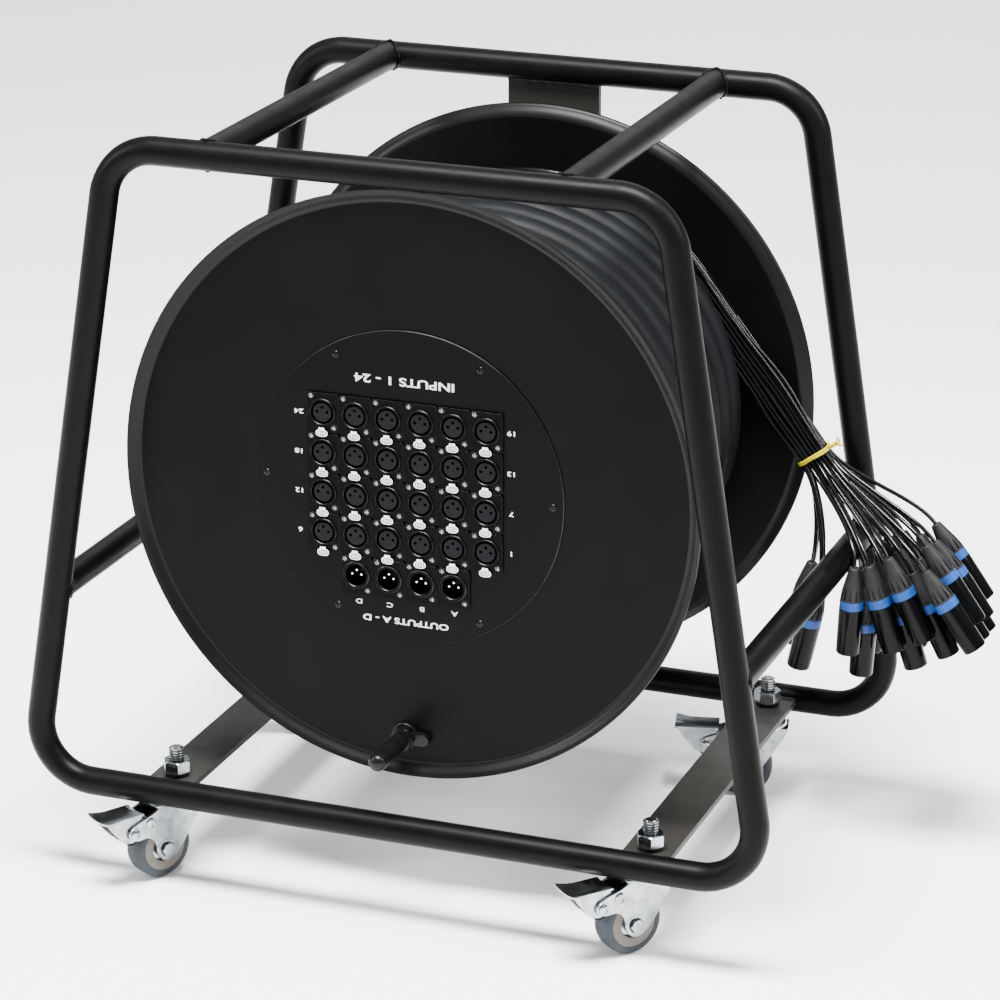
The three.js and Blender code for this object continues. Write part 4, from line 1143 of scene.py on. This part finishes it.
def legends(height):
    """Numbers and letters beside the connectors and a heading for each kind."""
    words = []
    for k in range(4):
        z = 53.4 - 31.4 * k
        words += [(24 - 6 * k, -88, z - 1.5, 1), (19 - 6 * k, 82.3, z + 0.5, 1)]
    words += [(letter, x, -94, 1) for letter, x in zip("DCBA", (-40.5, -15.4, 10.8, 37))]
    words += [("INPUTS 1 - 24", GRID[0], 84, 1.75), ("OUTPUTS A - D", GRID[0], -106, 1.3)]
    return painted(joined([
        letters(str(text), x, z, height * share) for text, x, z, share in words]), "legend_white")


class DRUM_OT_panel(bpy.types.Operator):
    """Make the round panel with its sockets, plugs, screws and numbers"""
    bl_idname = "cable_drum.panel"
    bl_label = "Socket Panel"

    def execute(self, context):
        face = PANEL_FACE
        back = face + 1.2
        disc = turned([
            (0, face), (PANEL_RADIUS - 0.55, face), (PANEL_RADIUS, face + 0.5),
            (PANEL_RADIUS, back), (0, back)], 144)
        rows = [
            [(GRID[0] + PITCH[0] * centred(column, columns), PLATE_FACE, GRID[1] - PITCH[1] * row)
             for column in range(columns)]
            for row, columns in enumerate((6, 6, 6, 6, 4))]
        carve(disc, joined([
            rod(10, face - 4, face + 6, x, z, 20) for row in rows for x, _y, z in row]))
        finished(disc, "panel_paint", "cut_edge", angle=30)
        # The rim's faces take the lighter bare metal, which also stands in for the highlight along
        # the rim.
        second_finish(disc, lambda middle, _normal: (
            hypot(middle.x, middle.z) > PANEL_RADIUS - 0.7 and middle.y < face + 0.9))
        keep(disc, "panel_disc", "drum", "black_sheet", "panel")
        body, insert, tab = socket_shapes()
        for i, row in enumerate(rows[:4], 1):
            bodies = spread(body, row)
            keep(bodies, f"socket_bodies_row_{i}", "drum", "connector", f"socket_row_{i}")
            keep(spread(insert, row), f"socket_inserts_row_{i}", "drum", "connector")
            keep(spread(tab, row), f"socket_push_tabs_row_{i}", "drum", "zinc")
        plug, pins = plug_shapes()
        keep(spread(plug, rows[4]), "plug_bodies", "drum", "connector", "plug_row")
        keep(spread(pins, rows[4]), "plug_pins", "drum", "zinc")
        # A flat black ring round each connector screw: painted shade of the screw's counterbore.
        recess = turned([(1.2, 0.2), (2.7, 0.2), (2.7, -0.12), (1.2, -0.12)], 32)
        screw = joined([painted(screw_shape(1.8), "screw_zinc"), finished(recess, "hub_black")])
        places = [
            (x + dx, y, z + dz) for row in rows for x, y, z in row
            for dx, dz in ((-9, 12.4), (9.4, -11.4))]
        keep(spread(screw, places), "connector_screws", "drum", "zinc")
        large_screw = painted(screw_shape(2.9), "blackened_steel")
        places = [(x, face, z) for x, z in (polar(PANEL_SCREWS, 60 * k) for k in range(6))]
        keep(spread(large_screw, places), "panel_screws", "drum", "dark_steel")
        discard(body, insert, tab, plug, pins, screw, large_screw)
        height = context.scene.cable_drum_drum.legend_height / MM
        keep(legends(height), "panel_legends", "drum", "connector")
        return {"FINISHED"}


class DRUM_OT_handle(bpy.types.Operator):
    """Make the winding handle with its turning grip"""
    bl_idname = "cable_drum.handle"
    bl_label = "Winding Handle"

    def execute(self, context):
        place = DRUM @ at(*HANDLE)
        washer = turned([(0, 48.2), (11, 48.2), (11, 46.4), (10.2, 45.6), (0, 45.6)], 48)
        nut = hexagon(9.9, 38.4, 45.8)
        collar = soften(turned(rectangle(0, 8, 36.5, 38.6), 40), 0.4)
        bolt = rod(3, -5.5, 38, steps=24)
        lug = slab([(0, -5.5), (19, -5), (22, 0), (19, 5), (0, 5.5)], 3, 42.4, 48.2, 0.8)
        base = joined([finished(p, "grip_black") for p in (washer, nut, collar, bolt, lug)])
        keep(base, "handle_mount", "drum", "dark_steel", "handle_base", place=place)
        dome = [(7 * cos(radians(a)), -7.5 - 6.2 * sin(radians(a))) for a in range(0, 91, 10)]
        grip = turned([
            (3.4, 35.4), (6.6, 35.9), (7, 35.2), (7.1, 30), (7, 10), *dome, (0, -13.6),
            (0, -6.6), (3.4, -6.6)], 48)
        finished(grip, "grip_black", angle=50)
        keep(grip, "turning_grip", "handle_grip", "connector", "handle_grip", place=place)
        return {"FINISHED"}


def winding_path(turns, step=6, climb=40):
    """The cable's way from the core outwards, as (degrees, radius, y)."""
    ends = (FRONT_INNER + SIDE_ROOM + CABLE, REAR_INNER - SIDE_ROOM - CABLE)
    climbing = climb // step
    count = 360 * turns // step
    angle = END_ANGLE + 2 * (360 * turns + climb)
    path = []
    for layer, radius in enumerate(LAYERS):
        y0, y1 = ends if layer % 2 == 0 else ends[::-1]
        if layer:
            below = LAYERS[layer - 1]
            for t in (k / climbing for k in range(climbing)):
                path.append((angle, below + (radius - below) * t * t * (3 - 2 * t), y0))
                angle -= climb / climbing
        for k in range(count + (layer == 2)):
            path.append((angle, radius, y0 + (y1 - y0) * k / count))
            angle -= step
    return path


class DRUM_OT_winding(bpy.types.Operator):
    """Wind the cable in three layers, with its breakout sleeve"""
    bl_idname = "cable_drum.winding"
    bl_label = "Winding"

    def execute(self, context):
        sizes = context.scene.cable_drum_drum
        points = []
        for angle, radius, y in winding_path(sizes.turns):
            a = radians(angle)
            wobbly = radius + 0.3 * sin(a * 0.37 + 1) - 0.5
            points.append((wobbly * cos(a), y + 0.2 * sin(a * 0.53 + 2), wobbly * sin(a)))
        ahead = Vector((sin(a), 0, -cos(a)))
        end = Vector(points[-1])
        points += [end + ahead * run for run in (8, 16, 26)]
        cable = pipe(points, sizes.cable_radius / MM, resolution=4)
        finished(cable, "jacket_grey", angle=60)
        keep(cable, "wound_cable", "drum", "cable_jacket", "cable_winding", "winding_core")
        sleeve = turned([
            (0, 0), (12.9, 0), (13.4, 1.2), (13.4, 14), (12.4, 20), (8, 40), (7.4, 46), (6.6, 48),
            (0, 48)], 40)
        finished(sleeve, "boot_rubber", angle=40)
        keep(sleeve, "breakout_sleeve", "drum", "cable_jacket", "cable_breakout",
             place=DRUM @ at(*(end + ahead * 23.5)) @ facing(ahead))
        return {"FINISHED"}


# Finishes of the solids that show as they are
NODE_FINISHES = {
    "core_tube": "flange_paint", "hub": "blackened_steel", "bearing_front": "plain_bronze",
    "bearing_rear": "plain_bronze", "axle": "blackened_steel",
}


class DRUM_OT_solids(bpy.types.Operator):
    """Give the solids that stay their finishes"""
    bl_idname = "cable_drum.solids"
    bl_label = "Axle and Core"

    def execute(self, context):
        for node, finish in NODE_FINISHES.items():
            painted(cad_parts[node], finish)
        return {"FINISHED"}


STEPS = (
    DRUM_OT_stage, DRUM_OT_tails, DRUM_OT_hoops, DRUM_OT_cross_tubes, DRUM_OT_base,
    DRUM_OT_casters, DRUM_OT_flanges, DRUM_OT_panel, DRUM_OT_handle, DRUM_OT_winding,
    DRUM_OT_solids,
)
GROUPS = (
    ("cable_drum_stand", StandSizes), ("cable_drum_drum", DrumSizes),
    ("cable_drum_tails", TailSizes), ("cable_drum_stage", StageSizes),
)


class DRUM_PT_panel(bpy.types.Panel):
    """Sizes and steps of the cable drum"""
    bl_label = "Cable Drum"
    bl_idname = "DRUM_PT_panel"
    bl_space_type = "VIEW_3D"
    bl_region_type = "UI"
    bl_category = "Cable Drum"

    def draw(self, context):
        for name, group in GROUPS:
            box = self.layout.box()
            for key in group.__annotations__:
                box.prop(getattr(context.scene, name), key)
        for step in STEPS:
            self.layout.operator(step.bl_idname)


CLASSES = (*[group for _name, group in GROUPS], *STEPS, DRUM_PT_panel)


def register():
    for kind in CLASSES:
        bpy.utils.register_class(kind)
    for name, group in GROUPS:
        setattr(bpy.types.Scene, name, bpy.props.PointerProperty(type=group))


def unregister():
    for name, _group in GROUPS:
        delattr(bpy.types.Scene, name)
    for kind in reversed(CLASSES):
        bpy.utils.unregister_class(kind)


def main():
    register()
    for step in STEPS:
        getattr(bpy.ops.cable_drum, step.bl_idname.split(".")[1])()


if __name__ == "__main__":
    main()
